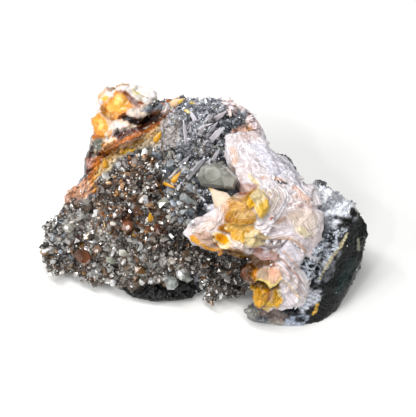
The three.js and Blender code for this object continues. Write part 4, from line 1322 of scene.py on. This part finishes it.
sheets = [
    # rim in pixels with the sheet on its right, reach in pixels, height, rim colour, body colour
    ([(225, 204), (224, 212), (221, 220), (214, 228), (207, 232)], 12, 0.3, "#f0e4e4", "#ecdcda"),
    ([(218, 224), (218, 214), (219, 206), (216, 198), (209, 189)], 12, 0.5, "#f2dccf", "#eecdb9"),
    ([(209, 187), (215, 190), (221, 191), (226, 194), (231, 199), (237, 202)], 11, 0.5, "#dca93c",
      "#ecd0bc"),
    ([(224, 191), (230, 196), (236, 200), (243, 203), (248, 199), (254, 192)], 9, 0.6, "#d9a240",
      "#d3a878"),
    ([(233, 194), (238, 196), (244, 196), (248, 193)], 5, 0.4, "#f0e0e2", "#a8644a"),
    ([(245, 253), (236, 251), (228, 250), (219, 251), (212, 250), (203, 246), (195, 243), (190, 239)],
      13, 1.3, "#e0a01c", "#e8c8ae"),
    ([(212, 239), (208, 236), (203, 234), (196, 232), (190, 232)], 9, 0.35, "#f4ece0", "#ecdedb"),
    ([(230, 249), (222, 248), (216, 245), (213, 240), (212, 233)], 7, 0.5, "#f6e6c4", "#efd2b4"),
    ([(246, 250), (240, 249), (234, 246), (230, 242), (226, 237)], 10, 0.6, "#f0e2d2", "#eccfc0"),
    ([(227, 242), (222, 243), (217, 240), (215, 236), (218, 233)], 7, 0.3, "#f6b01c", "#f09c08"),
    ([(229, 233), (223, 231), (215, 229)], 6, 0.3, "#a86808", "#b98022"),
    ([(264, 244), (258, 247), (252, 248), (246, 246), (240, 244), (235, 241)], 9, 0.4, "#f2e2bc",
      "#e0cca0"),
    ([(262, 238), (256, 236), (250, 238), (246, 238), (243, 234)], 8, 0.3, "#f0d898", "#e6c890"),
    ([(248, 240), (243, 243), (240, 240), (236, 241), (232, 238), (230, 233), (227, 231), (222, 228)],
      14, 0.5, "#efc04a", "#e8b860"),
    ([(256, 222), (248, 224), (238, 224), (228, 223), (225, 219), (227, 212), (229, 206)], 14, 0.5,
      "#b87c06", "#d3a850"),
    ([(250, 210), (244, 211), (236, 210), (230, 212)], 7, 0.15, "#d9a01c", "#e2b568"),
    ([(248, 206), (242, 205), (237, 204), (231, 207)], 5, 0.12, "#e0a628", "#dcae6c"),
    ([(283, 186), (288, 192), (289, 199), (287, 204), (283, 210), (280, 216), (275, 222), (268, 226)], 9,
      0.16, "#f8f4f8", "#e6dadb"),
    ([(278, 185), (284, 191), (286, 198), (282, 206), (277, 213), (271, 220)], 7, 0.14, "#f6eef0",
      "#e3d3ce"),
    ([(272, 186), (278, 191), (279, 198), (275, 207), (270, 214)], 6, 0.14, "#f6efec", "#e6d6c8"),
    ([(266, 187), (272, 191), (273, 196), (270, 203), (268, 209)], 6, 0.16, "#f2e8e2", "#e2cdbf"),
    ([(268, 198), (268, 208), (266, 214), (262, 220)], 10, 0.5, "#e8ba3c", "#e2cf9c"),
    ([(262, 220), (259, 217), (256, 212), (254, 207), (250, 209), (247, 204), (249, 197), (254, 191),
      (260, 188)], 13, 0.8, "#f0c458", "#f2e4c8"),
    ([(262, 214), (258, 208), (257, 200)], 5, 0.25, "#f0d488", "#eac04c"),
    # its white rim is a painted highlight
    ([(286, 208), (292, 207), (296, 205)], 5, 0.3, "#ffffff", "#e8dcdc"),
    ([(290, 207), (294, 203), (300, 201), (306, 203), (312, 208)], 7, 0.35, "#f6ecec", "#f0dad4"),
    ([(290, 196), (296, 192), (302, 193), (308, 198), (316, 205)], 7, 0.35, "#f4e8ea", "#eed6cb"),
    ([(288, 190), (292, 183), (299, 186), (306, 193), (314, 199)], 7, 0.35, "#f0ebf2", "#eccabb"),
    ([(316, 233), (309, 238), (302, 237), (297, 233), (293, 226), (292, 218)], 14, 0.22, "#e8dccb",
      "#e3d3c8"),
    ([(320, 221), (316, 227), (310, 230), (306, 227), (304, 221)], 9, 0.25, "#f4ece8", "#e8d9d4"),
    ([(270, 224), (266, 229), (259, 230), (254, 227)], 6, 0.5, "#faf6fa", "#e8dcdc"),
    ([(306, 255), (300, 247), (294, 242), (288, 240), (280, 239), (272, 241), (264, 239), (258, 237)],
      12, 0.7, "#cdab92", "#efe5e9"),
    # its white rim is a painted highlight
    ([(283, 243), (277, 249), (270, 248), (263, 249), (257, 247)], 7, 0.5, "#f6f4f8", "#bfb0ac"),
    ([(282, 258), (276, 261), (268, 259), (262, 260), (257, 257), (251, 252)], 9, 0.6, "#c79c8e",
      "#cdb3b2"),
    ([(286, 278), (281, 280), (276, 285), (270, 289), (267, 284), (262, 281), (258, 280), (254, 284)],
      15, 1.3, "#ecc46a", "#dfb89c"),
    ([(258, 281), (254, 284), (249, 281), (243, 277), (241, 271), (245, 266), (250, 261)], 12, 1.0,
      "#9c5c0c", "#8c5a18"),
    ([(271, 290), (269, 296), (265, 302), (261, 307), (256, 306), (252, 300), (250, 293), (250, 286)],
      12, 0.9, "#e0a818", "#a87000"),
    ([(286, 296), (282, 302), (277, 307), (271, 305), (266, 306)], 16, 0.7, "#ecc458", "#d6ae68"),
    ([(283, 293), (279, 297), (276, 293), (278, 288)], 5, 0.3, "#e6b83c", "#f2e2b0"),
    ([(272, 311), (266, 312), (262, 308)], 6, 0.4, "#e6d6b4", "#dcc48e"),
    ([(306, 292), (300, 282), (292, 272), (284, 263), (278, 257)], 7, 0.45, "#c2988a", "#efe6e6"),
    ([(302, 272), (294, 264), (287, 256), (282, 249)], 7, 0.35, "#c9aca0", "#e9e2e6"),
    ([(300, 290), (294, 283), (288, 276), (280, 268), (274, 263)], 6, 0.4, "#cfae9e", "#f0e8ea"),
    ([(300, 301), (295, 294), (290, 287), (284, 282), (279, 280)], 7, 0.4, "#dcbf96", "#f3ecee"),
    ([(308, 300), (303, 292), (298, 285)], 6, 0.35, "#d3c4c2", "#f0eaf0"),
]
pinkZones = [
    # outline in pixels, colour
    ([(208, 187), (217, 190), (223, 199), (225, 207), (223, 220), (216, 229), (207, 233), (197, 231),
      (203, 223), (212, 217), (216, 211), (219, 204), (216, 197)], "#ecdad6"),
    ([(210, 188), (216, 190), (221, 195), (224, 200), (219, 201), (215, 195)], "#d6c4ae"),
    ([(222, 200), (228, 203), (229, 210), (225, 215), (221, 210)], "#efc6a8"),
    ([(204, 221), (214, 218), (218, 223), (214, 230), (206, 232), (198, 230)], "#f0ddd4"),
    ([(223, 191), (230, 196), (237, 202), (244, 204), (249, 202), (247, 198), (239, 197), (231, 193)],
      "#e8ceb0"),
    ([(234, 199), (244, 199), (250, 200), (246, 204), (240, 204)], "#cfa480"),
    # the hollow below the slab: its rose colour, darkened here as painted shade
    ([(235, 186), (247, 185), (252, 189), (248, 194), (240, 196), (232, 194)], "#dcc0b8"),
    ([(239, 192), (247, 192), (250, 194), (244, 197), (239, 196)], "#c08468"),
    ([(241, 200), (247, 196), (251, 190), (257, 189), (256, 193), (251, 198), (247, 205)], "#dca848"),
    ([(229, 209), (231, 204), (238, 202), (246, 203), (251, 207), (254, 211), (244, 212), (234, 211)],
      "#e4b260"),
    ([(229, 204), (232, 204), (231, 208), (228, 209)], "#cf9008"),
    ([(231, 212), (244, 211), (254, 211), (257, 216), (256, 221), (246, 221), (236, 220), (229, 216)],
      "#cc9c48"),
    ([(238, 212), (252, 213), (255, 217), (246, 219), (239, 217)], "#d6ae68"),
    ([(225, 216), (229, 211), (232, 214), (236, 219), (246, 220), (256, 221), (253, 224), (242, 223),
      (230, 223)], "#c88e04"),
    ([(226, 217), (231, 218), (236, 221), (229, 223), (225, 221)], "#bd7c04"),
    ([(225, 223), (240, 223), (254, 225), (254, 230), (247, 234), (246, 240), (250, 243), (244, 244),
      (239, 240), (236, 240), (232, 237), (228, 231), (223, 227)], "#e2b65c"),
    ([(229, 229), (237, 229), (239, 235), (237, 239), (232, 237)], "#ecb43c"),
    ([(240, 231), (246, 233), (247, 240), (243, 242), (239, 238)], "#e8b84c"),
    ([(216, 230), (220, 226), (225, 223), (227, 225), (223, 229), (229, 232), (231, 236), (224, 232)],
      "#b97c0a"),
    ([(246, 235), (252, 231), (262, 233), (270, 238), (263, 244), (254, 246), (246, 245), (244, 242)],
      "#ead4a0"),
    # painted shade under the cream plates
    ([(253, 237), (262, 236), (268, 239), (260, 241), (252, 241)], "#d0b88c"),
    ([(191, 236), (197, 231), (205, 231), (212, 234), (215, 242), (219, 248), (213, 249), (206, 246),
      (198, 242)], "#d8b8a4"),
    # painted shade along the fold
    ([(199, 234), (206, 234), (211, 237), (210, 239), (204, 236)], "#d3ac9c"),
    ([(231, 241), (236, 241), (244, 245), (252, 248), (250, 251), (240, 250), (230, 248)], "#eddcd2"),
    ([(219, 251), (224, 248), (232, 248), (240, 250), (247, 253), (249, 257), (243, 260), (237, 258),
      (231, 255)], "#7c5208"),
    ([(233, 253), (240, 254), (246, 256), (242, 259), (236, 257)], "#9c6c08"),
    ([(247, 199), (250, 197), (253, 200), (255, 206), (252, 209), (248, 206)], "#f2b814"),
    ([(250, 197), (256, 190), (263, 190), (267, 196), (262, 203), (257, 207), (254, 202)], "#ecd8aa"),
    ([(260, 204), (266, 199), (269, 206), (267, 213), (263, 219), (258, 215), (256, 209)], "#ecc04c"),
    # painted shade under the grey-lilac sheet
    ([(252, 247), (258, 246), (264, 249), (262, 253), (255, 252)], "#bc8878"),
    # the lower orange sheet: its deep orange-brown, partly darkened as painted shade
    ([(236, 275), (240, 265), (245, 263), (250, 263), (256, 260), (262, 262), (262, 268), (257, 271),
      (256, 280), (250, 282), (244, 278)], "#6c4204"),
    ([(236, 274), (242, 267), (246, 272), (248, 280), (241, 280)], "#7c4418"),
    # painted shade on its top
    ([(247, 266), (251, 261), (257, 259), (263, 262), (260, 266), (252, 266)], "#6c4204"),
    ([(253, 270), (257, 268), (257, 276), (255, 281), (252, 278)], "#e09408"),
    ([(257, 271), (264, 268), (272, 267), (278, 270), (281, 276), (277, 282), (270, 286), (264, 282),
      (257, 278)], "#dfb898"),
    ([(272, 268), (277, 269), (279, 276), (275, 280), (271, 274)], "#e6b498"),
    ([(258, 271), (265, 269), (268, 275), (262, 278), (257, 276)], "#ccb49a"),
    ([(270, 264), (275, 263), (276, 267), (271, 268)], "#a8602c"),
    ([(249, 285), (256, 282), (262, 281), (268, 286), (271, 291), (269, 297), (265, 303), (259, 308),
      (254, 303), (250, 294)], "#cf9808"),
    # painted shadow on the top of the gold sheet, under the peach sheet's rim
    ([(250, 285), (258, 282), (264, 282), (269, 287), (266, 290), (256, 288)], "#8c6200"),
    ([(250, 287), (255, 287), (255, 293), (251, 293)], "#bc9840"),
    ([(254, 298), (260, 297), (264, 300), (259, 307), (255, 303)], "#ecb020"),
    ([(268, 289), (272, 290), (270, 297), (266, 300)], "#b0700c"),
    # painted shadow under the peach sheet's rim
    ([(271, 288), (279, 283), (280, 288), (275, 292), (271, 292)], "#8c6400"),
    ([(270, 291), (274, 291), (274, 301), (269, 301)], "#dcb48c"),
    ([(273, 291), (277, 289), (280, 294), (283, 298), (281, 304), (277, 308), (273, 305)], "#e6b01c"),
    ([(264, 302), (269, 300), (274, 305), (270, 308), (265, 307)], "#f0c850"),
    ([(277, 291), (280, 289), (283, 292), (282, 297), (278, 296)], "#f4e4b4"),
    ([(262, 304), (268, 305), (267, 313), (262, 313)], "#cfb074"),
    ([(281, 282), (288, 286), (296, 295), (300, 303), (292, 306), (284, 302), (281, 294)], "#f2e8ec"),
    ([(300, 211), (310, 210), (317, 215), (318, 224), (311, 231), (303, 230), (297, 222)], "#e6d6cc"),
    ([(300, 226), (306, 228), (308, 234), (301, 236), (297, 231)], "#e8dab8"),
]
rimZones = [
    # as above, with crisper edges
    ([(190, 236), (194, 235), (197, 238), (201, 242), (197, 243), (192, 241)], "#eaa60c"),
    ([(201, 243), (208, 246), (214, 248), (219, 250), (213, 251), (206, 249)], "#e3a010"),
    ([(212, 235), (214, 232), (220, 232), (227, 235), (231, 241), (229, 247), (226, 249), (219, 246),
      (214, 241)], "#fae8b8"),
    ([(214, 236), (217, 233), (222, 233), (227, 237), (229, 241), (226, 244), (221, 243), (216, 239)],
      "#fbb808"),
    ([(215, 236), (218, 234), (221, 237), (221, 241), (217, 239)], "#f4a200"),
    # painted highlight
    ([(224, 229), (225, 226), (228, 226), (227, 229)], "#f6e4c0"),
    ([(209, 187), (216, 189), (222, 191), (222, 192), (215, 191)], "#d9a83c"),
    ([(224, 190), (229, 193), (233, 198), (231, 198), (226, 194)], "#d3a440"),
    ([(255, 280), (260, 278), (268, 281), (272, 284), (276, 282), (280, 278), (277, 285), (270, 289),
      (266, 285), (260, 282)], "#f8e090"),
    # painted shadow on the top of the gold sheet, under the peach sheet's rim
    ([(249, 284), (255, 281), (262, 281), (267, 285), (268, 289), (258, 285)], "#7c5600"),
]
lineStrokes = [
    # lines between the sheets: pixels, reach, colour. The grey ones are painted shadow in the creases, the
    # others the stone's own brown, gold and orange
    ([(250, 249), (262, 246), (272, 248), (284, 244)], 0.5, "#9c8f92"),
    ([(262, 241), (275, 239), (288, 241)], 0.35, "#a89d99"),
    ([(213, 236), (215, 242), (218, 246)], 0.3, "#a8601c"),
    ([(272, 252), (277, 256)], 1.0, "#b89488"),
    ([(246, 231), (249, 232)], 0.45, "#cf980c"),
    ([(270, 241), (280, 242)], 0.35, "#8c8480"),
    ([(271, 219), (272, 218)], 0.3, "#b8642c"),
    ([(278, 222), (284, 219)], 1.0, "#cfb09c"),
]
flows = [
    # where the silky fibres run, pixels, reach and their way across and down
    (slabArea, 5.0, (0.7, 0.7)),
    ([(278, 250), (290, 266), (302, 288), (290, 300)], 6.0, (0.6, 0.8)),
    ([(206, 234), (222, 240), (240, 246), (258, 250)], 5.0, (-0.93, 0.36)),
    ([(256, 232), (274, 236), (292, 240)], 4.0, (-0.97, 0.2)),
    ([(219, 194), (222, 206), (218, 218)], 3.6, (0.15, 1.0)),
    ([(228, 200), (244, 214), (234, 232), (250, 238)], 4.4, (-0.5, 0.85)),
    ([(290, 192), (304, 202), (310, 220), (306, 240)], 5.5, (0.5, 0.86)),
    ([(256, 268), (272, 274), (262, 292), (276, 298)], 4.4, (-0.3, 0.95)),
    ([(264, 196), (276, 204)], 3.6, (0.9, 0.45)),
]
slabWay = pixelWay(0.7, 0.7)  # along the slab
cave = [(208, 251), (218, 254), (226, 253), (233, 256), (240, 259), (247, 257), (250, 259), (246, 264),
        (242, 268), (240, 275), (244, 281), (250, 284), (250, 291), (238, 298), (220, 292), (208, 262)]


def silkyFibres(points):
    # fine pearly fibres, which run along each flow
    silk = np.zeros(len(points))
    total = np.full(len(points), 0.05)
    for i, (pixels, reach, way) in enumerate(flows):
        weight = strokeWeight(points, pixels, reach, 0.2, 0.1)
        silk += weight * wrinkles(stretched(points, pixelWay(*way), 6.0), pink["silk"][0], 81 + i, 2)
        total += weight
    return silk / total


def deepen(colours):
    # darker and more saturated, most in the dark parts
    strongest = np.clip(colours.max(axis=1, keepdims=True), 0, 1)
    darker, power = pink["depth"]
    return darker * np.clip(colours, 0, 1) ** power * strongest ** 0.12


fine, points, normals = fineMass("pink_barite", pink["voxel"], pink["smoothing"], pink["window"])
ridge = wrinkles(stretched(points, slabWay, 2.2), pink["wrinkle"][0], 33)
ripple = wrinkles(stretched(points, slabWay, 1.6), pink["ripple"][0], 43, 2)
silk = silkyFibres(points)
slabShare = 0.35 + 0.65 * strokeWeight(points, slabArea, 5.5)
lumpSize, lumpHeight = pink["lumps"]
lift = pink["grow"] + lumpHeight * swell(points, lumpSize, 25, 2)
lift += slabShare * (pink["wrinkle"][1] * (ridge - 0.6) + pink["ripple"][1] * (ripple - 0.5))
hollow = slabShare * (1 - smoothstep(ridge * 0.5 + ripple * 0.5, 0.3, 0.65))
cloud = smoothstep(swell(points, 5.0, 71, 3), -0.3, 0.7)
rosy = np.clip(hollow * (0.15 + 0.6 * cloud) + 0.16 * cloud, 0, 1)
colours = blendColours(rosy, pink["white"], pink["rose"])
paint(points, colours, pinkStrokes, 0.45, 0.4)
rise, light = laySheets(points, normals, colours, sheets, pink["ragged"])
paintZones(points, normals, colours, pinkZones, pink["ragged"], 1.7)
paintZones(points, normals, colours, rimZones, 0.45, 0.7)
paint(points, colours, lineStrokes, 0.3, 0.25)
# painted shadow outside each sheet's rim and painted highlight inside it
colours *= light[:, None]
rise += pink["silk"][1] * (silk - 0.5)
colours *= (0.88 + 0.2 * smoothstep(silk, 0.2, 0.8))[:, None]
speckleEast(points, normals, colours)
# painted shade in the hollows between the wrinkles, and the slab a little darker all over
colours *= (1 - 0.16 * hollow - 0.06 * slabShare)[:, None]
colours = deepen(colours)
# the hollow under the sheets: pushed back, and painted dark as shade
hidden = zoneWeight(seenSpots(points, normals, 0.8)[0], cave, 1.5)
rise -= pink["cave"] * hidden
colours += hidden[:, None] * (linear(pink["caveShadowHex"]) - colours)
pinkPoints = pushOut(points, normals, lift) + bestSide * rise[:, None] * smoothstep(points[:, 2:], 0.2, 2.5)
pinkPoints[:, 2] = np.maximum(pinkPoints[:, 2], 0)
pinkPiece = finishMass("pinkBariteMass", fine, pinkPoints, colours, True)
place(pinkPiece, pearlyBarite, "pink_barite", "pink_barite")
pinkMass = massOf(pinkPoints, normals, fine, colours)


# pink barite flakes that stand off the mass

rng = np.random.default_rng(12)
shells = [shellShape(rng, 8, 75 + 12 * i, 0.06, 2.0, 0.02, 0.03, -0.16 - 0.04 * i) for i in range(4)]
flakes = [shellShape(rng, 5, 70, 0.08, 1.0, 0.02, 0.04, -0.1) for i in range(3)]
pinkBeds = [
    {"along": slabArea, "reach": 4.6, "count": 90, "to": (0.6, 0.75), "length": (1.0, 2.4),
     "width": (0.9, 1.7), "lift": (0, 5), "fan": 50, "sink": 0.05, "apart": 0.9,
     "root": ["#ecd9d6", "#eae2ea"], "tip": ["#f4f0f4", "#efe2e4", "#faf8fa"]},
    {"along": [(262, 234), (280, 238), (296, 246), (304, 256)], "reach": 2.4, "count": 26,
     "to": (-0.7, 0.7), "length": (1.4, 2.8), "width": (0.8, 1.2), "lift": (4, 20), "fan": 25, "apart": 1.1,
     "root": ["#e6d6d6", "#e2d0cc"], "tip": ["#f4f0f4", "#efe6e8"]},
    {"along": [(276, 254), (286, 266), (296, 280), (302, 294)], "reach": 2.6, "count": 44,
     "to": (-0.5, 0.85), "length": (1.4, 3.0), "width": (0.7, 1.1), "lift": (3, 18), "fan": 22, "apart": 1.0,
     "root": ["#e6d4d0", "#e2cbc4"], "tip": ["#f2eaec", "#f6f2f4", "#ecdcd4"]},
]
heap = newHeap()
for bed in pinkBeds:
    layBlades(rng, pinkMass, heap, shells, bed)
northBed = {"along": [(232, 102), (246, 108), (256, 118), (262, 130), (248, 136), (236, 136)], "reach": 2.4,
            "count": 120, "to": (0.6, 0.8), "length": (2.0, 4.4), "width": (1.0, 2.0), "lift": (-2, 6),
            "fan": 22, "sink": 0.0, "apart": 0.7,
            "root": ["#d9b4ac", "#e0c8c8"], "tip": ["#e9d8d8", "#e6cdc6", "#eee6ea"]}
layBlades(rng, rockMass, heap, flakes, northBed)
place(heapPiece("pinkBariteBlades", heap, True), pearlyBarite, "pink_barite")


# galena cubes over the eastern patch, and crystals in the hollow under the sheets, tinted near black as
# painted shade


def zoneShare(mass, zones):
    spots, facing = seenSpots(mass["points"], mass["normals"], 1.0)
    return facing * np.max([zoneWeight(spots, outline) for outline in zones], axis=0)


# near-black tints: painted shade in the hollow
caveShadowTints = paletteOf("#1a1411", "#0f0c0b", "#30251b", "#221f1e", "#080707", "#645950", spread=0.2)
eastBed = bedOf(620, (0.3, 0.9), (0.6, 1.0), lean=0.5, apart=0.5, sink=0.15)
caveBed = bedOf(700, (0.4, 1.7), (0.7, 1.2), lean=0.6, apart=0.4, sink=0.15)
patchMass = joinMasses(rockMass, pinkMass)
heap = newHeap()
crystalSet(rng, patchMass, heap, blocks + smallGrains, ownTints, zoneShare(patchMass, eastPatch), eastBed)
place(heapPiece("eastGalenaCubes", heap), galenaMetal, "galena_rock")
heap = newHeap()
crystalSet(rng, patchMass, heap, grains, caveShadowTints, zoneShare(patchMass, [cave]), caveBed)
place(heapPiece("caveCrystals", heap), smokyCerussite, "brown_cerussite")


# yellow and orange shells, each where it stands

petalForms = [
    # spread in degrees, depth of the lobes, growth ripples, cup
    (80, 0.05, 3.0, -0.1),
    (62, 0.07, 2.5, -0.16),
    (95, 0.06, 3.5, -0.08),
    (50, 0.05, 2.0, -0.2),
]
petals = [shellShape(rng, 22, *form[:3], 0.02, 0.03, form[3]) for form in petalForms]
flange = bladeShape(rng, 5, 3, 0.6, 0.05, 0.05, -0.08)
flangeSpecs = [
    # root pixel, tip pixel, width, off the stone at root and tip, roll, root, body and rim colour
    ((228, 206), (208, 187), 4.6, (0.3, 1.0), 0, "#efcab0", "#e3cdb8", "#d9b468"),
    ((223, 214), (213, 193), 3.0, (0.3, 0.8), 10, "#e8c4ae", "#efd2c0", "#f2e0d8"),
]
petalSpecs = [
    # as above, but with the width as a share of the length
    ((224, 246), (219, 256), 0.35, (0.4, 0.8), 0, "#c98a3c", "#cf8430", "#b86c20"),
    ((224, 208), (202, 205), 0.28, (0.6, 1.6), 20, "#e6e0e6", "#ece6ee", "#f4f0f6"),
    ((224, 214), (205, 211), 0.28, (0.5, 1.4), -10, "#e6dce0", "#ece4ea", "#f4f0f4"),
]
heap = newHeap()
for i, (root, tip, wide, offs, roll, *hexColours) in enumerate(petalSpecs):
    long = np.linalg.norm(onSurface(*root)[0] - onSurface(*tip)[0])
    heroBlade(heap, petals[i % len(petals)], (root, tip, wide * long, offs, roll, *hexColours))
for spec in flangeSpecs:
    heroBlade(heap, flange, spec)
rosette = {
    "middle": (279, 227),  # in pixels
    "reach": (6, 3),  # of its blades in pixels, and how much more or less
    "turns": (10, 60, 115, 160, 205, 250, 300, 340),  # of its blades, in degrees
    "flatness": 0.8,  # its height over its width, as it is seen
    "blade": (0.5, (0.9, 0.7), 60, "#e6dade", "#efe4e8", "#f4eef0"),  # as for the flanges
}
u0, v0 = rosette["middle"]
for turn in np.radians(rosette["turns"]):
    far = rosette["reach"][0] + rosette["reach"][1] * math.sin(5 * turn)
    tip = (u0 + far * math.cos(turn), v0 - rosette["flatness"] * far * math.sin(turn))
    heroBlade(heap, laths[0], (rosette["middle"], tip, *rosette["blade"]))
lensSpecs = [
    # small lens-shaped blades, listed as the flanges are, with root and tip colour
    ((106, 168), (104, 158), 1.5, (0.7, 1.2), 10, "#cf9a28", "#d3981c"),
    ((121, 154), (123, 147), 1.3, (0.7, 1.2), 10, "#d09a30", "#c98c14"),
    ((124, 153), (136, 149), 1.5, (0.6, 1.2), 0, "#c9a024", "#c99a1c"),
    ((155, 142), (162, 130), 1.7, (0.7, 1.4), 10, "#d99820", "#dd9c18"),
    ((172, 183), (181, 171), 1.4, (0.8, 1.6), 0, "#e0a01c", "#e3a424"),
    ((168, 191), (187, 168), 1.8, (0.3, 0.9), 0, "#b8a898", "#cfc0b4"),
    ((163, 183), (176, 188), 0.9, (0.8, 1.4), 0, "#e8a624", "#d99420"),
    ((184, 111), (191, 113), 1.3, (0.8, 1.2), 0, "#f0a818", "#f2d8a0"),
    ((151, 222), (150, 212), 1.6, (0.8, 1.6), 0, "#b98210", "#c9941c"),
    ((135, 238), (134, 229), 1.3, (0.8, 1.6), 0, "#c08a14", "#b58218"),
    ((170, 105), (186, 98), 2.0, (0.6, 1.2), 0, "#e0b890", "#e3c4a0"),
    ((178, 103), (184, 99), 0.9, (1.2, 1.6), 0, "#d9ac3c", "#dcae38"),
    ((191, 104), (198, 107), 1.6, (0.5, 1.0), 0, "#e6bc98", "#e9c8a4"),
    ((190, 104), (194, 102), 1.0, (0.8, 1.2), 0, "#e8b040", "#efc460"),
]
lensShapes = laths[:2]
for i, spec in enumerate(lensSpecs):
    heroBlade(heap, lensShapes[i % len(lensShapes)], spec)
place(heapPiece("yellowBariteBlades", heap, True), honeyBarite, "honey_barite")


# clear cerussite crystal: thick six-sided tables grown together, with bevelled edges

clearTables = [
    # outline in pixels, its middle, how far its face leans across and down, height over the stone, thickness
    ([(197, 177), (201, 167), (212, 163), (227, 167), (238, 178), (234, 190), (214, 188), (201, 186)],
      (216, 176), (-0.35, 0.1), -0.6, 2.6),
    ([(202, 176), (205, 168), (215, 165), (223, 170), (224, 178), (213, 184), (205, 183)], (213, 174),
      (-0.1, 0.35), 1.0, 1.6),
    ([(221, 176), (229, 171), (237, 179), (234, 189), (224, 188)], (229, 180), (0.6, -0.35), 0.6, 1.8),
]
clearRings = ((0.0, 1.0), (0.6, 0.74), (-0.5, 0.92), (-1.2, 0.5))  # height in thicknesses, and size
clearEdge = 0.08  # the width of the bevels
heapMesh = bmesh.new()
for outline, (u0, v0), (across, down), height, thickness in clearTables:
    middle = onSurface(u0, v0)[0] + bestSide * height
    faceWay = unit(bestSide + rightward * across - upward * down)
    mesh = bmesh.new()
    for rise, size in clearRings:
        base = middle + faceWay * rise * thickness
        for u, v in outline:
            ray = pixelRay(u0 + size * (u - u0), v0 + size * (v - v0))
            mesh.verts.new((eye + ray * ((base - eye) @ faceWay) / (ray @ faceWay)) * mm)
    hullUp(mesh)
    bmesh.ops.dissolve_limit(mesh, angle_limit=math.radians(3), verts=mesh.verts, edges=mesh.edges)
    bmesh.ops.bevel(mesh, geom=mesh.edges[:], offset=clearEdge * mm, affect="EDGES", segments=1,
                    profile=0.5, material=-1)
    table = bpy.data.meshes.new("clearTable")
    mesh.to_mesh(table)
    mesh.free()
    heapMesh.from_mesh(table)
    bpy.data.meshes.remove(table)
data = bpy.data.meshes.new("clearCerussite")
heapMesh.to_mesh(data)
heapMesh.free()
points = readMass(data)[0]
colours = blendColours(smoothstep(swell(points, 3.0, 81, 2), -0.3, 0.5), "#9a9b90", "#d9d8cf")
clearPiece = finishMass("clearCerussite", data, points, colours)
place(clearPiece, greyCerussite, "clear_cerussite", "clear_cerussite_crystal")


# stage: a pale table, soft light from the upper left, and the camera

stage = {
    "table": "#f4f4f2",
    "world": "#ffffff",
    "worldStrength": 0.14,
    "aim": (0, 0, 0.01),  # what the lamps look at, in metres
    # name, place and size in metres, power in watts
    "lamps": [("softTop", (-0.1, 0.12, 0.6), 0.34, 2.0), ("softLeft", (-0.5, -0.15, 0.36), 0.3, 1.65),
              ("softFront", (-0.05, -0.55, 0.36), 0.26, 0.95), ("key", (-0.35, 0.2, 0.5), 0.1, 0.9),
              ("glintLeft", (-0.3, -0.3, 0.55), 0.06, 0.45), ("glintTop", (0.08, -0.1, 0.62), 0.06, 0.45),
              ("glintRight", (0.3, -0.3, 0.5), 0.05, 0.3)],
}
floorMesh = bmesh.new()
bmesh.ops.create_grid(floorMesh, x_segments=1, y_segments=1, size=3.0)
floorData = bpy.data.meshes.new("table")
floorMesh.to_mesh(floorData)
floorMesh.free()
floor = bpy.data.objects.new("table", floorData)
bpy.context.scene.collection.objects.link(floor)
tableTop = bpy.data.materials.new("paintedTableTop")
tableTop.use_nodes = True
tableShader = tableTop.node_tree.nodes["Principled BSDF"]
tableShader.inputs["Base Color"].default_value = (*linear(stage["table"]), 1)
tableShader.inputs["Roughness"].default_value = 0.9
floorData.materials.append(tableTop)

world = bpy.data.worlds.new("studio")
world.use_nodes = True
world.node_tree.nodes["Background"].inputs["Color"].default_value = (*linear(stage["world"]), 1)
world.node_tree.nodes["Background"].inputs["Strength"].default_value = stage["worldStrength"]
bpy.context.scene.world = world
bpy.context.scene.view_settings.view_transform = "Standard"

for name, spot, size, power in stage["lamps"]:
    light = bpy.data.lights.new(name, "AREA")
    light.shape = "DISK"
    light.size = size
    light.energy = power
    lamp = bpy.data.objects.new(name, light)
    lamp.location = spot
    lamp.rotation_euler = (Vector(stage["aim"]) - Vector(spot)).to_track_quat("-Z", "Y").to_euler()
    bpy.context.scene.collection.objects.link(lamp)

cameraData = bpy.data.cameras.new("camera")
cameraData.lens = view["lens"]
cameraData.sensor_width = view["sensor"]
cameraData.clip_start = 0.01
camera = bpy.data.objects.new("camera", cameraData)
camera.location = Vector(eye) * mm
camera.rotation_euler = (math.radians(90 - view["elevation"]), 0, 0)
bpy.context.scene.collection.objects.link(camera)
bpy.context.scene.camera = camera
